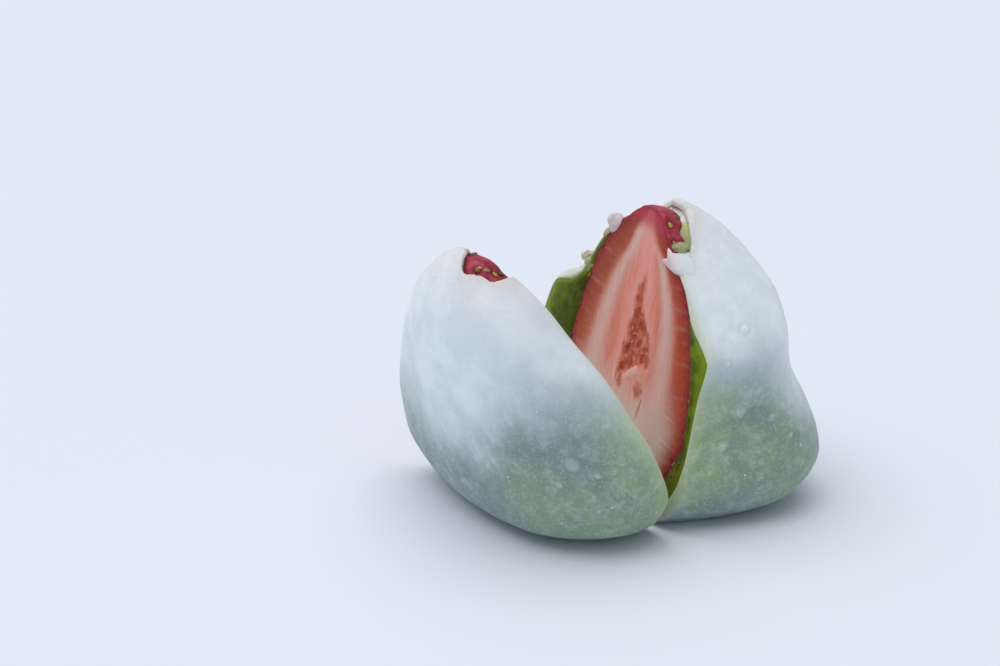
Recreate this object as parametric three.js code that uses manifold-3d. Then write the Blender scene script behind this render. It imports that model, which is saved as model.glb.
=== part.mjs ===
// A strawberry mochi rice cake cut in two through its berry, the halves standing opened in a V.
//
// Millimetres, +Z up. +Y runs along the middle of the V toward its open back, +X from the left
// half to the right half, and the origin is on the floor under the middle of the whole.
//
// Each half is shaped in a frame of its own: u runs along the cut from its front end, v goes
// into the half away from the cut, and z is the height. A half is three nested layers: the
// strawberry, the bean paste round it and the mochi skin round that. All three are cut by the
// plane v = 0, and the skin and the paste stop at a torn rim that leaves the berry's tip bare.

import * as THREE from "three";
import Module from "manifold-3d";
import { mergeVertices } from "three/addons/utils/BufferGeometryUtils.js";

const wasm = await Module();
wasm.setup();

// ---- driving dimensions ----------------------------------------------------------------

const SKIN_THICKNESS = 1.7;
const BASE_SKIN = 0.9; // skin under the middle of the base
const SKIN_SHARE = 0.36; // the most of a tight place between surface and berry that is skin
const LAYER_GAP = 0.42; // clearance between neighbouring layers
const BERRY_LIFT = 4.2; // height on the berry that faces the edge of the base
const LIFT_FADE = 12; // height above which berry and surface are matched level with level
const TIP_SOFTENING = 3; // length over which the berry's levels close up toward its top
const TIP_ROOM = 4.5; // distance below the berry's top where that closing up starts

const COLUMNS = 20; // steps round the back of a half
const ROWS = 16; // steps up the side of a half, to the torn rim
const PASTE_ROWS = 15; // the paste stops one step below the rim
const TIP_ROWS = 3; // steps of the berry's bare tip over those
const FACE_COLUMNS = 12; // steps across the berry's cut face
const SPINE_CROWDING = 1.6; // over 1, those steps crowd toward the middle
const LUMP_STEPS = [10, 7]; // steps round a small lump and from pole to pole
const SEED_STEPS = [6, 4];
const TANGENT_STEP = 0.02; // distance from a point to the two that give the slope there
const WELD_DISTANCE = 0.0001;

// How far the soft paste swells out of the cut, as [height, swell].
const PASTE_SWELL = [
  [0, 0],
  [12, 0],
  [22, 0.7],
  [30, 0.35],
  [36, 0],
];

// The rough hollow core in the berry's cut face; it narrows upward by the share taper.
const CAVITY = { top: 33.5, bottom: 16, halfWidth: 2.6, depth: 1.3, taper: 0.35 };

const SEED = { length: 1.5, width: 1.0, proud: 0.35 };

// Every form is a list of levels: [height, front edge, rear edge, depth behind the cut].
// The first and last levels are its lowest and highest points. boxiness is the power of its
// plan outline, low down and at the top: 2 is an ellipse and more is squarer. drift is how far
// its back slides forward for each millimetre behind the cut, and driftFade how soon that
// fades toward the rear.

const RIGHT = {
  name: "right",
  side: 1,
  corner: [-3.51, -19.54],
  yaw: 11.5,
  lean: 11,
  body: {
    levels: [
      [0, 7.0, 38.0, 20.0],
      [3, 2.6, 42.5, 25.5],
      [8, 0.6, 44.3, 27.8],
      [14, 0.5, 44.0, 25.7],
      [20, 0.3, 42.8, 22.0],
      [26, -0.2, 40.6, 20.0],
      [31, 3.9, 34.6, 18.4],
      [35, 8.3, 31.6, 15.6],
      [39, 12.6, 28.0, 11.6],
      [42.5, 16.0, 24.6, 6.4],
      [45, 20.0, 20.0, 0],
    ],
    boxiness: [2.4, 2.15],
    drift: [0.48, 0.04],
    driftFade: 0.5,
  },
  berry: {
    levels: [
      [3.4, 19.4, 19.4, 0],
      [4.1, 11.0, 27.6, 9.0],
      [6, 6.6, 31.8, 12.8],
      [10, 3.9, 34.4, 15.0],
      [14, 2.9, 35.0, 15.8],
      [20, 3.4, 34.3, 15.2],
      [25, 4.7, 33.3, 14.2],
      [30, 7.0, 31.8, 12.6],
      [34, 9.8, 29.9, 10.6],
      [38, 13.4, 26.8, 7.8],
      [41, 15.8, 23.9, 5.0],
      [42.8, 17.3, 21.9, 2.9],
      [43.6, 19.6, 19.6, 0],
    ],
    boxiness: [2, 2],
    drift: [0.25, 0],
    driftFade: 0.5,
  },
  // [angle round from the front edge in degrees, height of the torn rim]
  rim: [
    [0, 37.6],
    [15, 38.7],
    [28, 40.5],
    [48, 42.4],
    [90, 43.0],
    [150, 42.4],
    [180, 40.6],
  ],
  seeds: [
    [10, 39.8],
    [9, 41.6],
    [24, 41.9],
    [36, 42.8],
  ],
};

const LEFT = {
  name: "left",
  side: -1,
  corner: [-2.11, -18.04],
  yaw: 11.5,
  lean: 19,
  body: {
    levels: [
      [0, 6.5, 38.5, 11.0],
      [3, 1.5, 43.0, 15.2],
      [8, -0.9, 45.4, 15.8],
      [14, 0.3, 45.0, 14.9],
      [20, 3.2, 43.5, 14.4],
      [26, 6.5, 41.2, 14.0],
      [31, 10.3, 38.4, 13.0],
      [35, 13.1, 36.0, 11.2],
      [39, 17.2, 32.6, 8.2],
      [42, 22.2, 28.8, 4.2],
      [43.4, 25.0, 25.0, 0],
    ],
    boxiness: [1.6, 1.75],
    drift: [0.62, 0.55],
    driftFade: 0.15,
  },
  berry: {
    levels: [
      [3.4, 22.0, 22.0, 0],
      [4.1, 13.6, 30.4, 5.6],
      [6, 8.6, 35.0, 8.4],
      [10, 5.4, 37.6, 10.0],
      [14, 5.2, 38.4, 10.5],
      [20, 7.2, 38.0, 10.2],
      [25, 9.4, 37.0, 9.7],
      [30, 12.4, 35.4, 9.0],
      [34, 15.2, 33.2, 7.8],
      [38, 18.6, 30.0, 5.9],
      [40, 20.5, 28.3, 4.4],
      [41.3, 22.0, 26.8, 2.8],
      [42.2, 24.4, 24.4, 0],
    ],
    boxiness: [1.7, 1.75],
    drift: [0.4, 0.4],
    driftFade: 0.15,
  },
  rim: [
    [0, 39.4],
    [25, 40.0],
    [45, 40.2],
    [66, 40.8],
    [78, 41.7],
    [100, 42.5],
    [144, 42.7],
    [180, 42.4],
  ],
  seeds: [
    [40, 41.2],
    [68, 41.7],
    [16, 41.4],
  ],
};

// The torn tongue of skin over the right half's cut face, as [u, z] round its outline.
const TONGUE = {
  outline: [
    [7.6, 34.4],
    [9.6, 35.0],
    [12.3, 35.4],
    [15.0, 36.2],
    [13.3, 37.1],
    [14.2, 38.2],
    [11.2, 37.9],
    [9.2, 36.6],
  ],
  thickness: 1.0,
  root: [
    [8.4, 34.9],
    [9.1, 34.9],
    [10.6, 36.5],
    [10.1, 36.5],
  ],
  rootDepth: 0.8,
};

// Small lumps, as a centre [u, v, z] and radii.
const SKIN_LUMP = { centre: [27.0, 0.4, 41.0], radii: [1.6, 1.4, 1.3] };
const PASTE_LUMP = { centre: [34.3, -0.2, 27.5], radii: [1.1, 0.9, 1.2] };

// ---- materials ---------------------------------------------------------------------------

const skinMaterial = new THREE.MeshStandardMaterial({ color: 0xdde5e6, roughness: 0.8, metalness: 0 });
const pasteMaterial = new THREE.MeshStandardMaterial({ color: 0x7d9438, roughness: 0.75, metalness: 0 });
const berryMaterial = new THREE.MeshStandardMaterial({ color: 0xc65a45, roughness: 0.45, metalness: 0 });

// ---- curves ------------------------------------------------------------------------------

// A smooth curve through stations that never overshoots them (a monotone cubic).
function smoothThrough(xs, ys) {
  const last = xs.length - 1;
  const steps = xs.slice(1).map((x, i) => x - xs[i]);
  const rises = steps.map((step, i) => (ys[i + 1] - ys[i]) / step);
  const slopes = xs.map((_, i) => {
    if (i === 0 || i === last) return rises[Math.min(i, last - 1)];
    if (rises[i - 1] * rises[i] <= 0) return 0;
    const before = 2 * steps[i] + steps[i - 1];
    const after = steps[i] + 2 * steps[i - 1];
    return (before + after) / (before / rises[i - 1] + after / rises[i]);
  });
  return (x) => {
    const clamped = Math.min(Math.max(x, xs[0]), xs[last]);
    let i = 0;
    while (i < last - 1 && clamped > xs[i + 1]) i += 1;
    const t = (clamped - xs[i]) / steps[i];
    const rise = ys[i + 1] - ys[i];
    const startPull = slopes[i] * steps[i] - rise;
    const endPull = rise - slopes[i + 1] * steps[i];
    return ys[i] + t * rise + t * (1 - t) * ((1 - t) * startPull + t * endPull);
  };
}

function column(rows, index) {
  return rows.map((row) => row[index]);
}

// Steps from 0 to 1 that lie closer together at both ends.
function easedStep(i, count) {
  const even = i / count;
  const eased = (1 - Math.cos(Math.PI * even)) / 2;
  return (even + eased) / 2;
}

// ---- the form of a half ------------------------------------------------------------------

// A form's own outline at each height: a point for an angle round from front to rear.
function makeForm({ levels, boxiness, drift, driftFade }) {
  const heights = column(levels, 0);
  const front = smoothThrough(heights, column(levels, 1));
  const rear = smoothThrough(heights, column(levels, 2));
  const depth = smoothThrough(heights, column(levels, 3));
  const bottom = heights[0];
  const top = heights[heights.length - 1];
  const middleAt = (height) => (front(height) + rear(height)) / 2;
  const point = (angle, height) => {
    const share = height / top;
    const power = 2 / THREE.MathUtils.lerp(boxiness[0], boxiness[1], share);
    const across = Math.cos(angle);
    const v = depth(height) * Math.max(Math.sin(angle), 0) ** power;
    const halfWidth = (rear(height) - front(height)) / 2;
    const sweep = Math.sign(across) * Math.abs(across) ** power;
    const towardFront = ((1 + across) / 2) ** driftFade;
    const slide = THREE.MathUtils.lerp(drift[0], drift[1], share) * towardFront * v;
    return new THREE.Vector3(middleAt(height) - halfWidth * sweep - slide, v, height);
  };
  return { bottom, top, middleAt, point };
}

// The directions round a form and up it at one of its points.
function slopesAt(form, angle, height) {
  const { point } = form;
  const around = point(angle + TANGENT_STEP, height).sub(point(angle - TANGENT_STEP, height));
  const up = point(angle, height + TANGENT_STEP).sub(point(angle, height - TANGENT_STEP));
  return { around, up };
}

// A form's point moved inward, square to its surface; a negative distance moves it outward.
// A point on the cut stays on the cut.
function offsetPoint(form, angle, height, distance) {
  const point = form.point(angle, height);
  const { around, up } = slopesAt(form, angle, height);
  const normal = new THREE.Vector3().crossVectors(around, up);
  const onCut = angle < TANGENT_STEP || angle > Math.PI - TANGENT_STEP;
  if (onCut) normal.y = 0;
  normal.normalize();
  const inside = new THREE.Vector3(form.middleAt(height), 0, (form.bottom + form.top) / 2);
  if (normal.dot(inside.sub(point)) < 0) normal.negate();
  return point.addScaledVector(normal, distance);
}

// The height on the berry that faces a height of the surface: lifted near the floor, and
// closed up below the berry's top, which it never reaches.
function facingHeight(berry, height) {
  const fade = Math.max(0, 1 - height / LIFT_FADE);
  const lifted = height + BERRY_LIFT * fade * fade;
  const softStart = berry.top - TIP_ROOM;
  if (lifted <= softStart) return lifted;
  return softStart + TIP_SOFTENING * (1 - Math.exp((softStart - lifted) / TIP_SOFTENING));
}

// The boundaries of the layers between the surface and the berry. Where the two come close
// the skin is thinner, so that the paste always has room.
function makeLayers(half) {
  const body = makeForm(half.body);
  const berry = makeForm(half.berry);
  const skinAt = (angle, height) => {
    const room = body.point(angle, height).distanceTo(berry.point(angle, facingHeight(berry, height)));
    return Math.min(SKIN_THICKNESS, SKIN_SHARE * room);
  };
  const within = (gap) => (angle, height) => offsetPoint(body, angle, height, skinAt(angle, height) + gap);
  return {
    berry,
    skinOutside: body.point,
    skinInside: within(0),
    pasteOutside: within(LAYER_GAP),
    pasteInside: (angle, height) => offsetPoint(berry, angle, facingHeight(berry, height), -LAYER_GAP),
  };
}

// ---- meshes ------------------------------------------------------------------------------

class MeshBuilder {
  constructor() {
    this.points = [];
    this.triangles = [];
  }

  add(point) {
    this.points.push(point);
    return this.points.length - 1;
  }

  quad(a, b, c, d) {
    this.triangle(a, b, c);
    this.triangle(a, c, d);
  }

  // Quads at the poles fold into triangles, so a repeated corner drops its triangle.
  triangle(a, b, c) {
    if (a !== b && b !== c && c !== a) this.triangles.push([a, b, c]);
  }

  sheet(rows, flipped) {
    for (let r = 0; r + 1 < rows.length; r += 1) {
      for (let c = 0; c + 1 < rows[r].length; c += 1) {
        const corners = [rows[r][c], rows[r][c + 1], rows[r + 1][c + 1], rows[r + 1][c]];
        if (flipped) corners.reverse();
        this.quad(...corners);
      }
    }
  }

  build() {
    const geometry = new THREE.BufferGeometry();
    const flat = this.points.flatMap((p) => [p.x, p.y, p.z]);
    geometry.setAttribute("position", new THREE.Float32BufferAttribute(flat, 3));
    geometry.setIndex(this.triangles.flat());
    return geometry;
  }
}

// Six times the volume that a mesh encloses; negative when its faces point inward.
function signedVolume(geometry) {
  const position = geometry.getAttribute("position");
  const index = geometry.getIndex();
  const corners = [new THREE.Vector3(), new THREE.Vector3(), new THREE.Vector3()];
  let sum = 0;
  for (let i = 0; i < index.count; i += 3) {
    corners.forEach((corner, k) => corner.fromBufferAttribute(position, index.getX(i + k)));
    sum += corners[0].dot(corners[1].cross(corners[2]));
  }
  return sum;
}

function faceOutward(geometry) {
  if (signedVolume(geometry) > 0) return geometry;
  const index = Array.from(geometry.getIndex().array);
  for (let i = 0; i < index.length; i += 3) {
    [index[i + 1], index[i + 2]] = [index[i + 2], index[i + 1]];
  }
  geometry.setIndex(index);
  return geometry;
}

// One row of point numbers round a half, from its front edge to its rear edge.
function addRow(builder, surface, heightAt) {
  const row = [];
  for (let c = 0; c <= COLUMNS; c += 1) {
    const angle = (Math.PI * c) / COLUMNS;
    row.push(builder.add(surface(angle, heightAt(angle))));
  }
  return row;
}

function poleRow(builder, point, columns) {
  return new Array(columns + 1).fill(builder.add(point));
}

// Rows over one boundary surface: a pole in the middle of its underside first, then rows
// from the bottom up toward the torn rim.
function surfaceRows(builder, surface, underside, rimHeight, rowCount) {
  const middle = surface(0, 0).lerp(surface(Math.PI, 0), 0.5);
  middle.z = underside;
  const rows = [poleRow(builder, middle, COLUMNS)];
  for (let r = 0; r <= rowCount; r += 1) {
    rows.push(addRow(builder, surface, (angle) => easedStep(r, ROWS) * rimHeight(angle)));
  }
  return rows;
}

// The edge of a half shell: down its front, from the pole up its rear, and back over the rim.
function edgeLoop(rows) {
  const front = rows.map((row) => row[0]);
  const rear = rows.map((row) => row[row.length - 1]);
  const rim = rows[rows.length - 1];
  return [...rim.slice(0, -1), ...rear.slice(1).reverse(), ...front.slice(0, -1)];
}

// A shell between two boundary surfaces, which start at the two given heights under their
// middles. swell is how far the middle of its cut edge stands out of the cut.
function shell(outside, inside, undersides, rimHeight, rowCount, swell) {
  const builder = new MeshBuilder();
  const outer = surfaceRows(builder, outside, undersides[0], rimHeight, rowCount);
  const inner = surfaceRows(builder, inside, undersides[1], rimHeight, rowCount);
  builder.sheet(outer, false);
  builder.sheet(inner, true);
  const outerLoop = edgeLoop(outer);
  const innerLoop = edgeLoop(inner);
  const middleLoop = outerLoop.map((number, i) => {
    const a = builder.points[number];
    const b = builder.points[innerLoop[i]];
    const middle = a.clone().lerp(b, 0.5);
    middle.y -= i < COLUMNS ? 0 : swell(middle.z);
    return builder.add(middle);
  });
  const closed = (loop) => [...loop, loop[0]];
  builder.sheet([closed(outerLoop), closed(middleLoop), closed(innerLoop)], false);
  return builder.build();
}

// Depth of the hollow core at a point of the berry's cut face.
function cavityDepth(u, height, spine) {
  const halfHeight = (CAVITY.top - CAVITY.bottom) / 2;
  const along = (height - CAVITY.bottom) / halfHeight - 1;
  if (Math.abs(along) >= 1) return 0;
  const halfWidth = CAVITY.halfWidth * Math.sqrt(1 - along * along) * (1 - CAVITY.taper * along);
  const across = (u - spine) / halfWidth;
  return CAVITY.depth * Math.max(0, 1 - across * across);
}

// Half a strawberry: its round back, and its cut face with the hollow core. Its levels match
// those of the layers round it, and the bare tip's levels follow above them.
function halfBerry(berry, rimHeight) {
  const builder = new MeshBuilder();
  const poleAt = (height) => new THREE.Vector3(berry.middleAt(height), 0, height);
  const back = [poleRow(builder, poleAt(berry.bottom), COLUMNS)];
  const face = [new Array(FACE_COLUMNS + 1).fill(back[0][0])];
  for (let r = 0; r <= ROWS + TIP_ROWS; r += 1) {
    const tipShare = Math.max(0, r - ROWS) / (TIP_ROWS + 1);
    const heightAt = (angle) => {
      const facing = facingHeight(berry, easedStep(Math.min(r, ROWS), ROWS) * rimHeight(angle));
      return THREE.MathUtils.lerp(facing, berry.top, tipShare);
    };
    const row = addRow(builder, berry.point, heightAt);
    back.push(row);
    face.push(faceRow(builder, row, berry.middleAt));
  }
  back.push(poleRow(builder, poleAt(berry.top), COLUMNS));
  face.push(new Array(FACE_COLUMNS + 1).fill(back[back.length - 1][0]));
  builder.sheet(back, false);
  builder.sheet(face, true);
  return builder.build();
}

// One row of the cut face, from the back's front column to its rear column. The columns
// crowd toward the spine, where the hollow core needs them.
function faceRow(builder, backRow, spineAt) {
  const front = builder.points[backRow[0]];
  const rear = builder.points[backRow[COLUMNS]];
  const row = [backRow[0]];
  for (let c = 1; c < FACE_COLUMNS; c += 1) {
    const even = (2 * c) / FACE_COLUMNS - 1;
    const share = (1 + Math.sign(even) * Math.abs(even) ** SPINE_CROWDING) / 2;
    const point = front.clone().lerp(rear, share);
    point.y = cavityDepth(point.x, point.z, spineAt(point.z));
    row.push(builder.add(point));
  }
  row.push(backRow[COLUMNS]);
  return row;
}

// ---- joining small features --------------------------------------------------------------

// The same mesh with its corners shared by the triangles that meet there.
function welded(geometry) {
  const bare = geometry.clone();
  bare.deleteAttribute("normal");
  bare.deleteAttribute("uv");
  return mergeVertices(bare, WELD_DISTANCE);
}

function toSolid(geometry) {
  const closed = faceOutward(welded(geometry));
  return new wasm.Manifold(new wasm.Mesh({
    numProp: 3,
    vertProperties: new Float32Array(closed.getAttribute("position").array),
    triVerts: new Uint32Array(closed.getIndex().array),
  }));
}

function toGeometry(solid) {
  const mesh = solid.getMesh();
  const geometry = new THREE.BufferGeometry();
  geometry.setAttribute("position", new THREE.BufferAttribute(mesh.vertProperties, 3));
  geometry.setIndex(new THREE.BufferAttribute(mesh.triVerts, 1));
  return geometry;
}

function joined(base, extras) {
  return toGeometry([base, ...extras].map(toSolid).reduce((sum, solid) => sum.add(solid)));
}

function lump({ centre, radii }) {
  const geometry = new THREE.SphereGeometry(1, ...LUMP_STEPS);
  geometry.scale(...radii);
  geometry.translate(...centre);
  return geometry;
}

// A seed lying on the berry's bare tip, its length up the berry.
function seed(berry, [degrees, height]) {
  const angle = THREE.MathUtils.degToRad(degrees);
  const place = berry.point(angle, height);
  const { around, up } = slopesAt(berry, angle, height);
  up.normalize();
  const out = new THREE.Vector3().crossVectors(up, around).normalize();
  around.crossVectors(out, up);
  const geometry = new THREE.SphereGeometry(1, ...SEED_STEPS);
  geometry.scale(SEED.width / 2, SEED.proud, SEED.length / 2);
  geometry.applyMatrix4(new THREE.Matrix4().makeBasis(around, out, up).setPosition(place));
  return geometry;
}

// The tongue is a thin plate just clear of the cut face, with a root that enters the skin.
function tongue() {
  const plate = outlinePlate(TONGUE.outline, -LAYER_GAP - TONGUE.thickness, -LAYER_GAP);
  const root = outlinePlate(TONGUE.root, -LAYER_GAP - TONGUE.thickness / 2, TONGUE.rootDepth);
  return joined(plate, [root]);
}

// A plate with its outline in u and z, between two depths v.
function outlinePlate(outline, nearDepth, farDepth) {
  const shape = new THREE.Shape(outline.map(([u, z]) => new THREE.Vector2(u, z)));
  const settings = { depth: farDepth - nearDepth, bevelEnabled: false };
  const geometry = new THREE.ExtrudeGeometry(shape, settings);
  const position = geometry.getAttribute("position");
  for (let i = 0; i < position.count; i += 1) {
    position.setXYZ(i, position.getX(i), nearDepth + position.getZ(i), position.getY(i));
  }
  return geometry;
}

// ---- the halves --------------------------------------------------------------------------

// From a half's (u, v, z) to its group's frame: the cut leans back by a shear, so that the
// base stays flat, and the left half is the mirror side.
function standUp(geometry, half) {
  const slope = Math.tan(THREE.MathUtils.degToRad(half.lean));
  const position = geometry.getAttribute("position");
  for (let i = 0; i < position.count; i += 1) {
    const back = position.getY(i) + slope * position.getZ(i);
    position.setXYZ(i, half.side * back, position.getX(i), position.getZ(i));
  }
  const standing = faceOutward(geometry);
  standing.computeVertexNormals();
  return standing;
}

function namedMesh(name, geometry, material) {
  const mesh = new THREE.Mesh(geometry, material);
  mesh.name = name;
  return mesh;
}

function makeSkin(half, layers, rimHeight) {
  const undersides = [0, BASE_SKIN];
  const bare = shell(layers.skinOutside, layers.skinInside, undersides, rimHeight, ROWS, () => 0);
  if (half !== RIGHT) return bare;
  return joined(bare, [tongue(), lump(SKIN_LUMP)]);
}

function makePaste(half, layers, rimHeight) {
  const swell = smoothThrough(column(PASTE_SWELL, 0), column(PASTE_SWELL, 1));
  const undersides = [BASE_SKIN + LAYER_GAP, layers.berry.bottom - LAYER_GAP];
  const bare = shell(layers.pasteOutside, layers.pasteInside, undersides, rimHeight, PASTE_ROWS, swell);
  if (half !== RIGHT) return bare;
  return joined(bare, [lump(PASTE_LUMP)]);
}

function makeBerry(half, layers, rimHeight) {
  const seeds = half.seeds.map((place) => seed(layers.berry, place));
  return joined(halfBerry(layers.berry, rimHeight), seeds);
}

function makeHalf(half) {
  const layers = makeLayers(half);
  const angles = column(half.rim, 0).map(THREE.MathUtils.degToRad);
  const rimHeight = smoothThrough(angles, column(half.rim, 1));
  const group = new THREE.Group();
  group.add(
    namedMesh(`${half.name}_skin`, standUp(makeSkin(half, layers, rimHeight), half), skinMaterial),
    namedMesh(`${half.name}_paste`, standUp(makePaste(half, layers, rimHeight), half), pasteMaterial),
    namedMesh(`${half.name}_berry`, standUp(makeBerry(half, layers, rimHeight), half), berryMaterial),
  );
  group.position.set(half.corner[0], half.corner[1], 0);
  group.rotation.z = -half.side * THREE.MathUtils.degToRad(half.yaw);
  return group;
}

const mochi = new THREE.Group();
mochi.add(makeHalf(RIGHT), makeHalf(LEFT));

export default mochi;
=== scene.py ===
"""A strawberry rice cake cut in two, the halves standing opened in a V.

Each half is three layers: the starch-dusted skin, the green bean paste and half a strawberry.
A half is shaped in a frame of its own, in millimetres: u runs along the cut from its front end,
v goes into the half away from the cut, and z is the height. Angles go round a half from the
front end of the cut, over its back, to the rear end. Points become metres where they are placed
in the model's frame.
"""

import math

import bmesh
import bpy
import numpy as np
from mathutils import Matrix, Vector, noise


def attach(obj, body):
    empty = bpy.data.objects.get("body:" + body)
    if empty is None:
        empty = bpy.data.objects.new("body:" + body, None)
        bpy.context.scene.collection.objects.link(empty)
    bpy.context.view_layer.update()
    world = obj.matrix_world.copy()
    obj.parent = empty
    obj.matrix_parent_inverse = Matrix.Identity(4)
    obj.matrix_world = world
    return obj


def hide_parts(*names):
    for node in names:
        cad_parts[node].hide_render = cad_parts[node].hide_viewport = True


bl_info = {
    "name": "Cut strawberry rice cake",
    "version": (1, 0, 0),
    "blender": (4, 5, 0),
    "location": "3D View > Sidebar > Rice cake",
    "description": "Builds the skin, paste and berry of a rice cake that is cut in two",
    "category": "Object",
}

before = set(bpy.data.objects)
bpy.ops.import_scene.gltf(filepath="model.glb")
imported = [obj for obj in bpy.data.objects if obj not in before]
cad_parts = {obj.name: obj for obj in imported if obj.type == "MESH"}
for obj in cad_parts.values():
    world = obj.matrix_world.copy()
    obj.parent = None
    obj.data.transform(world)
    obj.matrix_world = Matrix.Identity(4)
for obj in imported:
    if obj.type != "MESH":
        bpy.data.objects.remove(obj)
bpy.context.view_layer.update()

MM = 0.001  # in metres
FAR = 1000.0  # more than any distance in the rice cake
TANGENT_STEP = 0.02  # radians, or millimetres, between the points that give a slope
WELD_DISTANCE = 0.001

# ---- the form of the halves, close to that of the solids ----------------------------------

BASE_SKIN = 0.9
SKIN_SHARE = 0.36  # how much of a tight place between surface and berry is skin
RIM_SHARE = 0.55  # the same at the torn rim
RIM_THINNING = 0.6  # how much thinner than that the skin is drawn round the bare tip
# From where to where the skin changes: angles in degrees, and distances below the rim.
FILL_ANGLES = (45, 25)
THIN_EDGE_ANGLES = (6, 1.5)
DRAWN_ANGLES = (3, 12)
REAR_ANGLES = (150, 172)
RIM_SHARE_BELOW = (3.5, 0.5)
DRAWN_BELOW = (3, 0.6)
NICK_DEPTH = 0.22
NICKS_ROUND = 5  # lumps of noise in a radian of the torn rim
# The berry's foot stands off the base: a height at the base faces one BERRY_LIFT further up.
BERRY_LIFT = 4.2
LIFT_FADE = 12
# From TIP_ROOM below the berry's tip, heights on the berry lag behind those that they face.
TIP_ROOM = 4.5
TIP_SOFTENING = 3

RIGHT = {
    "name": "right",
    "side": 1,
    "corner": (-3.51, -19.54),
    "yaw": 11.5,
    "lean": 11,
    # [height, how much of the skin's thickness is left at the rear end of the cut]
    "rear_share": [
        [0, 0.5], [20, 0.3], [25, 0.2], [26.5, 0.5], [29.5, 1.3], [31, 0.9], [34, 0.45], [45, 0.5],
    ],
    # [height, share of the room over the berry that is skin at the front end of the cut]
    "front_share": [
        [0, 0.36], [8, 0.25], [12, 0.14], [25, 0.14], [27, 0.2], [28, 0.28], [29.5, 0.45],
        [31.5, 0.85], [45, 0.85],
    ],
    # angles in degrees over which the rim stops being drawn thin
    "drawn_ends": (24, 40),
    # how strongly the berry's colour shows through the skin at the rim
    "blush": 0.35,
    # [height, front edge, rear edge, depth behind the cut]
    "body": {
        "levels": [
            [0, 7.0, 38.0, 20.0],
            [3, 2.6, 42.5, 25.5],
            [8, 0.6, 44.3, 27.8],
            [14, 0.5, 44.0, 25.7],
            [20, 0.3, 42.8, 22.0],
            [26, -0.8, 40.7, 20.0],
            [28, 0.4, 38.0, 19.4],
            [29.5, 2.1, 35.0, 19.0],
            [31, 3.9, 33.5, 18.4],
            [35, 8.3, 30.8, 15.6],
            [39, 12.6, 27.6, 11.6],
            [42.5, 16.0, 24.6, 6.4],
            [45, 20.0, 20.0, 0],
        ],
        "boxiness": (2.4, 2.15),
        "drift": (0.48, 0.04),
        "drift_fade": 0.5,
    },
    "berry": {
        "levels": [
            [3.4, 19.4, 19.4, 0],
            [4.1, 11.0, 27.6, 9.0],
            [6, 6.6, 31.8, 12.8],
            [10, 3.6, 34.4, 15.0],
            [14, 2.2, 35.0, 15.8],
            [20, 2.5, 34.3, 15.2],
            [25, 3.6, 33.4, 14.2],
            [30, 5.7, 32.1, 12.6],
            [34, 8.2, 30.3, 10.6],
            [38, 12.9, 27.1, 7.8],
            [40.4, 15.6, 24.3, 5.0],
            [41.8, 16.9, 22.4, 2.9],
            [42.3, 17.9, 21.4, 1.8],
            [42.6, 19.6, 19.6, 0],
        ],
        "boxiness": (2, 2),
        "drift": (0.25, 0),
        "drift_fade": 0.5,
    },
    # [angle in degrees, height of the torn rim]
    "rim": [
        [0, 37.6], [8, 38.3], [14, 39.2], [18, 40.3], [24, 41.3], [36, 42.1], [60, 43.0],
        [110, 43.2], [130, 42.2], [150, 40.6], [165, 39.4], [180, 38.8],
    ],
}

LEFT = {
    "name": "left",
    "side": -1,
    "corner": (-2.11, -18.04),
    "yaw": 11.5,
    "lean": 19,
    "rear_share": [[0, 1], [45, 1]],
    "front_share": [[0, SKIN_SHARE], [45, SKIN_SHARE]],
    "drawn_ends": (140, 165),
    "blush": 0.6,
    "body": {
        "levels": [
            [0, 6.5, 38.5, 11.0],
            [3, 1.5, 43.0, 15.2],
            [8, -0.9, 45.4, 15.8],
            [14, 0.0, 45.0, 14.9],
            [20, 2.9, 43.5, 14.4],
            [26, 6.2, 41.2, 14.0],
            [31, 10.3, 38.4, 13.0],
            [35, 13.1, 36.0, 11.2],
            [39, 17.2, 32.1, 8.1],
            [42, 22.2, 28.0, 4.1],
            [43.4, 24.7, 24.7, 0],
        ],
        "boxiness": (1.6, 1.75),
        "drift": (0.62, 0.55),
        "drift_fade": 0.15,
    },
    "berry": {
        "levels": [
            [3.4, 22.0, 22.0, 0],
            [4.1, 13.6, 30.4, 5.6],
            [6, 8.6, 35.0, 8.4],
            [10, 5.4, 37.6, 10.0],
            [14, 5.2, 38.4, 10.5],
            [20, 7.2, 38.0, 10.2],
            [25, 9.4, 37.0, 9.7],
            [30, 12.4, 35.4, 9.0],
            [34, 15.2, 33.2, 7.8],
            [38, 18.6, 30.0, 5.9],
            [40, 20.5, 28.3, 4.3],
            [41.1, 21.9, 26.9, 2.9],
            [41.8, 24.4, 24.4, 0],
        ],
        "boxiness": (1.7, 1.75),
        "drift": (0.4, 0.4),
        "drift_fade": 0.15,
    },
    "rim": [
        [0, 39.7], [22, 40.1], [45, 40.3], [57, 41.1], [75, 41.2], [92, 41.0], [100, 41.3],
        [108, 42.2], [116, 42.9], [160, 42.9], [180, 42.6],
    ],
}


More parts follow.
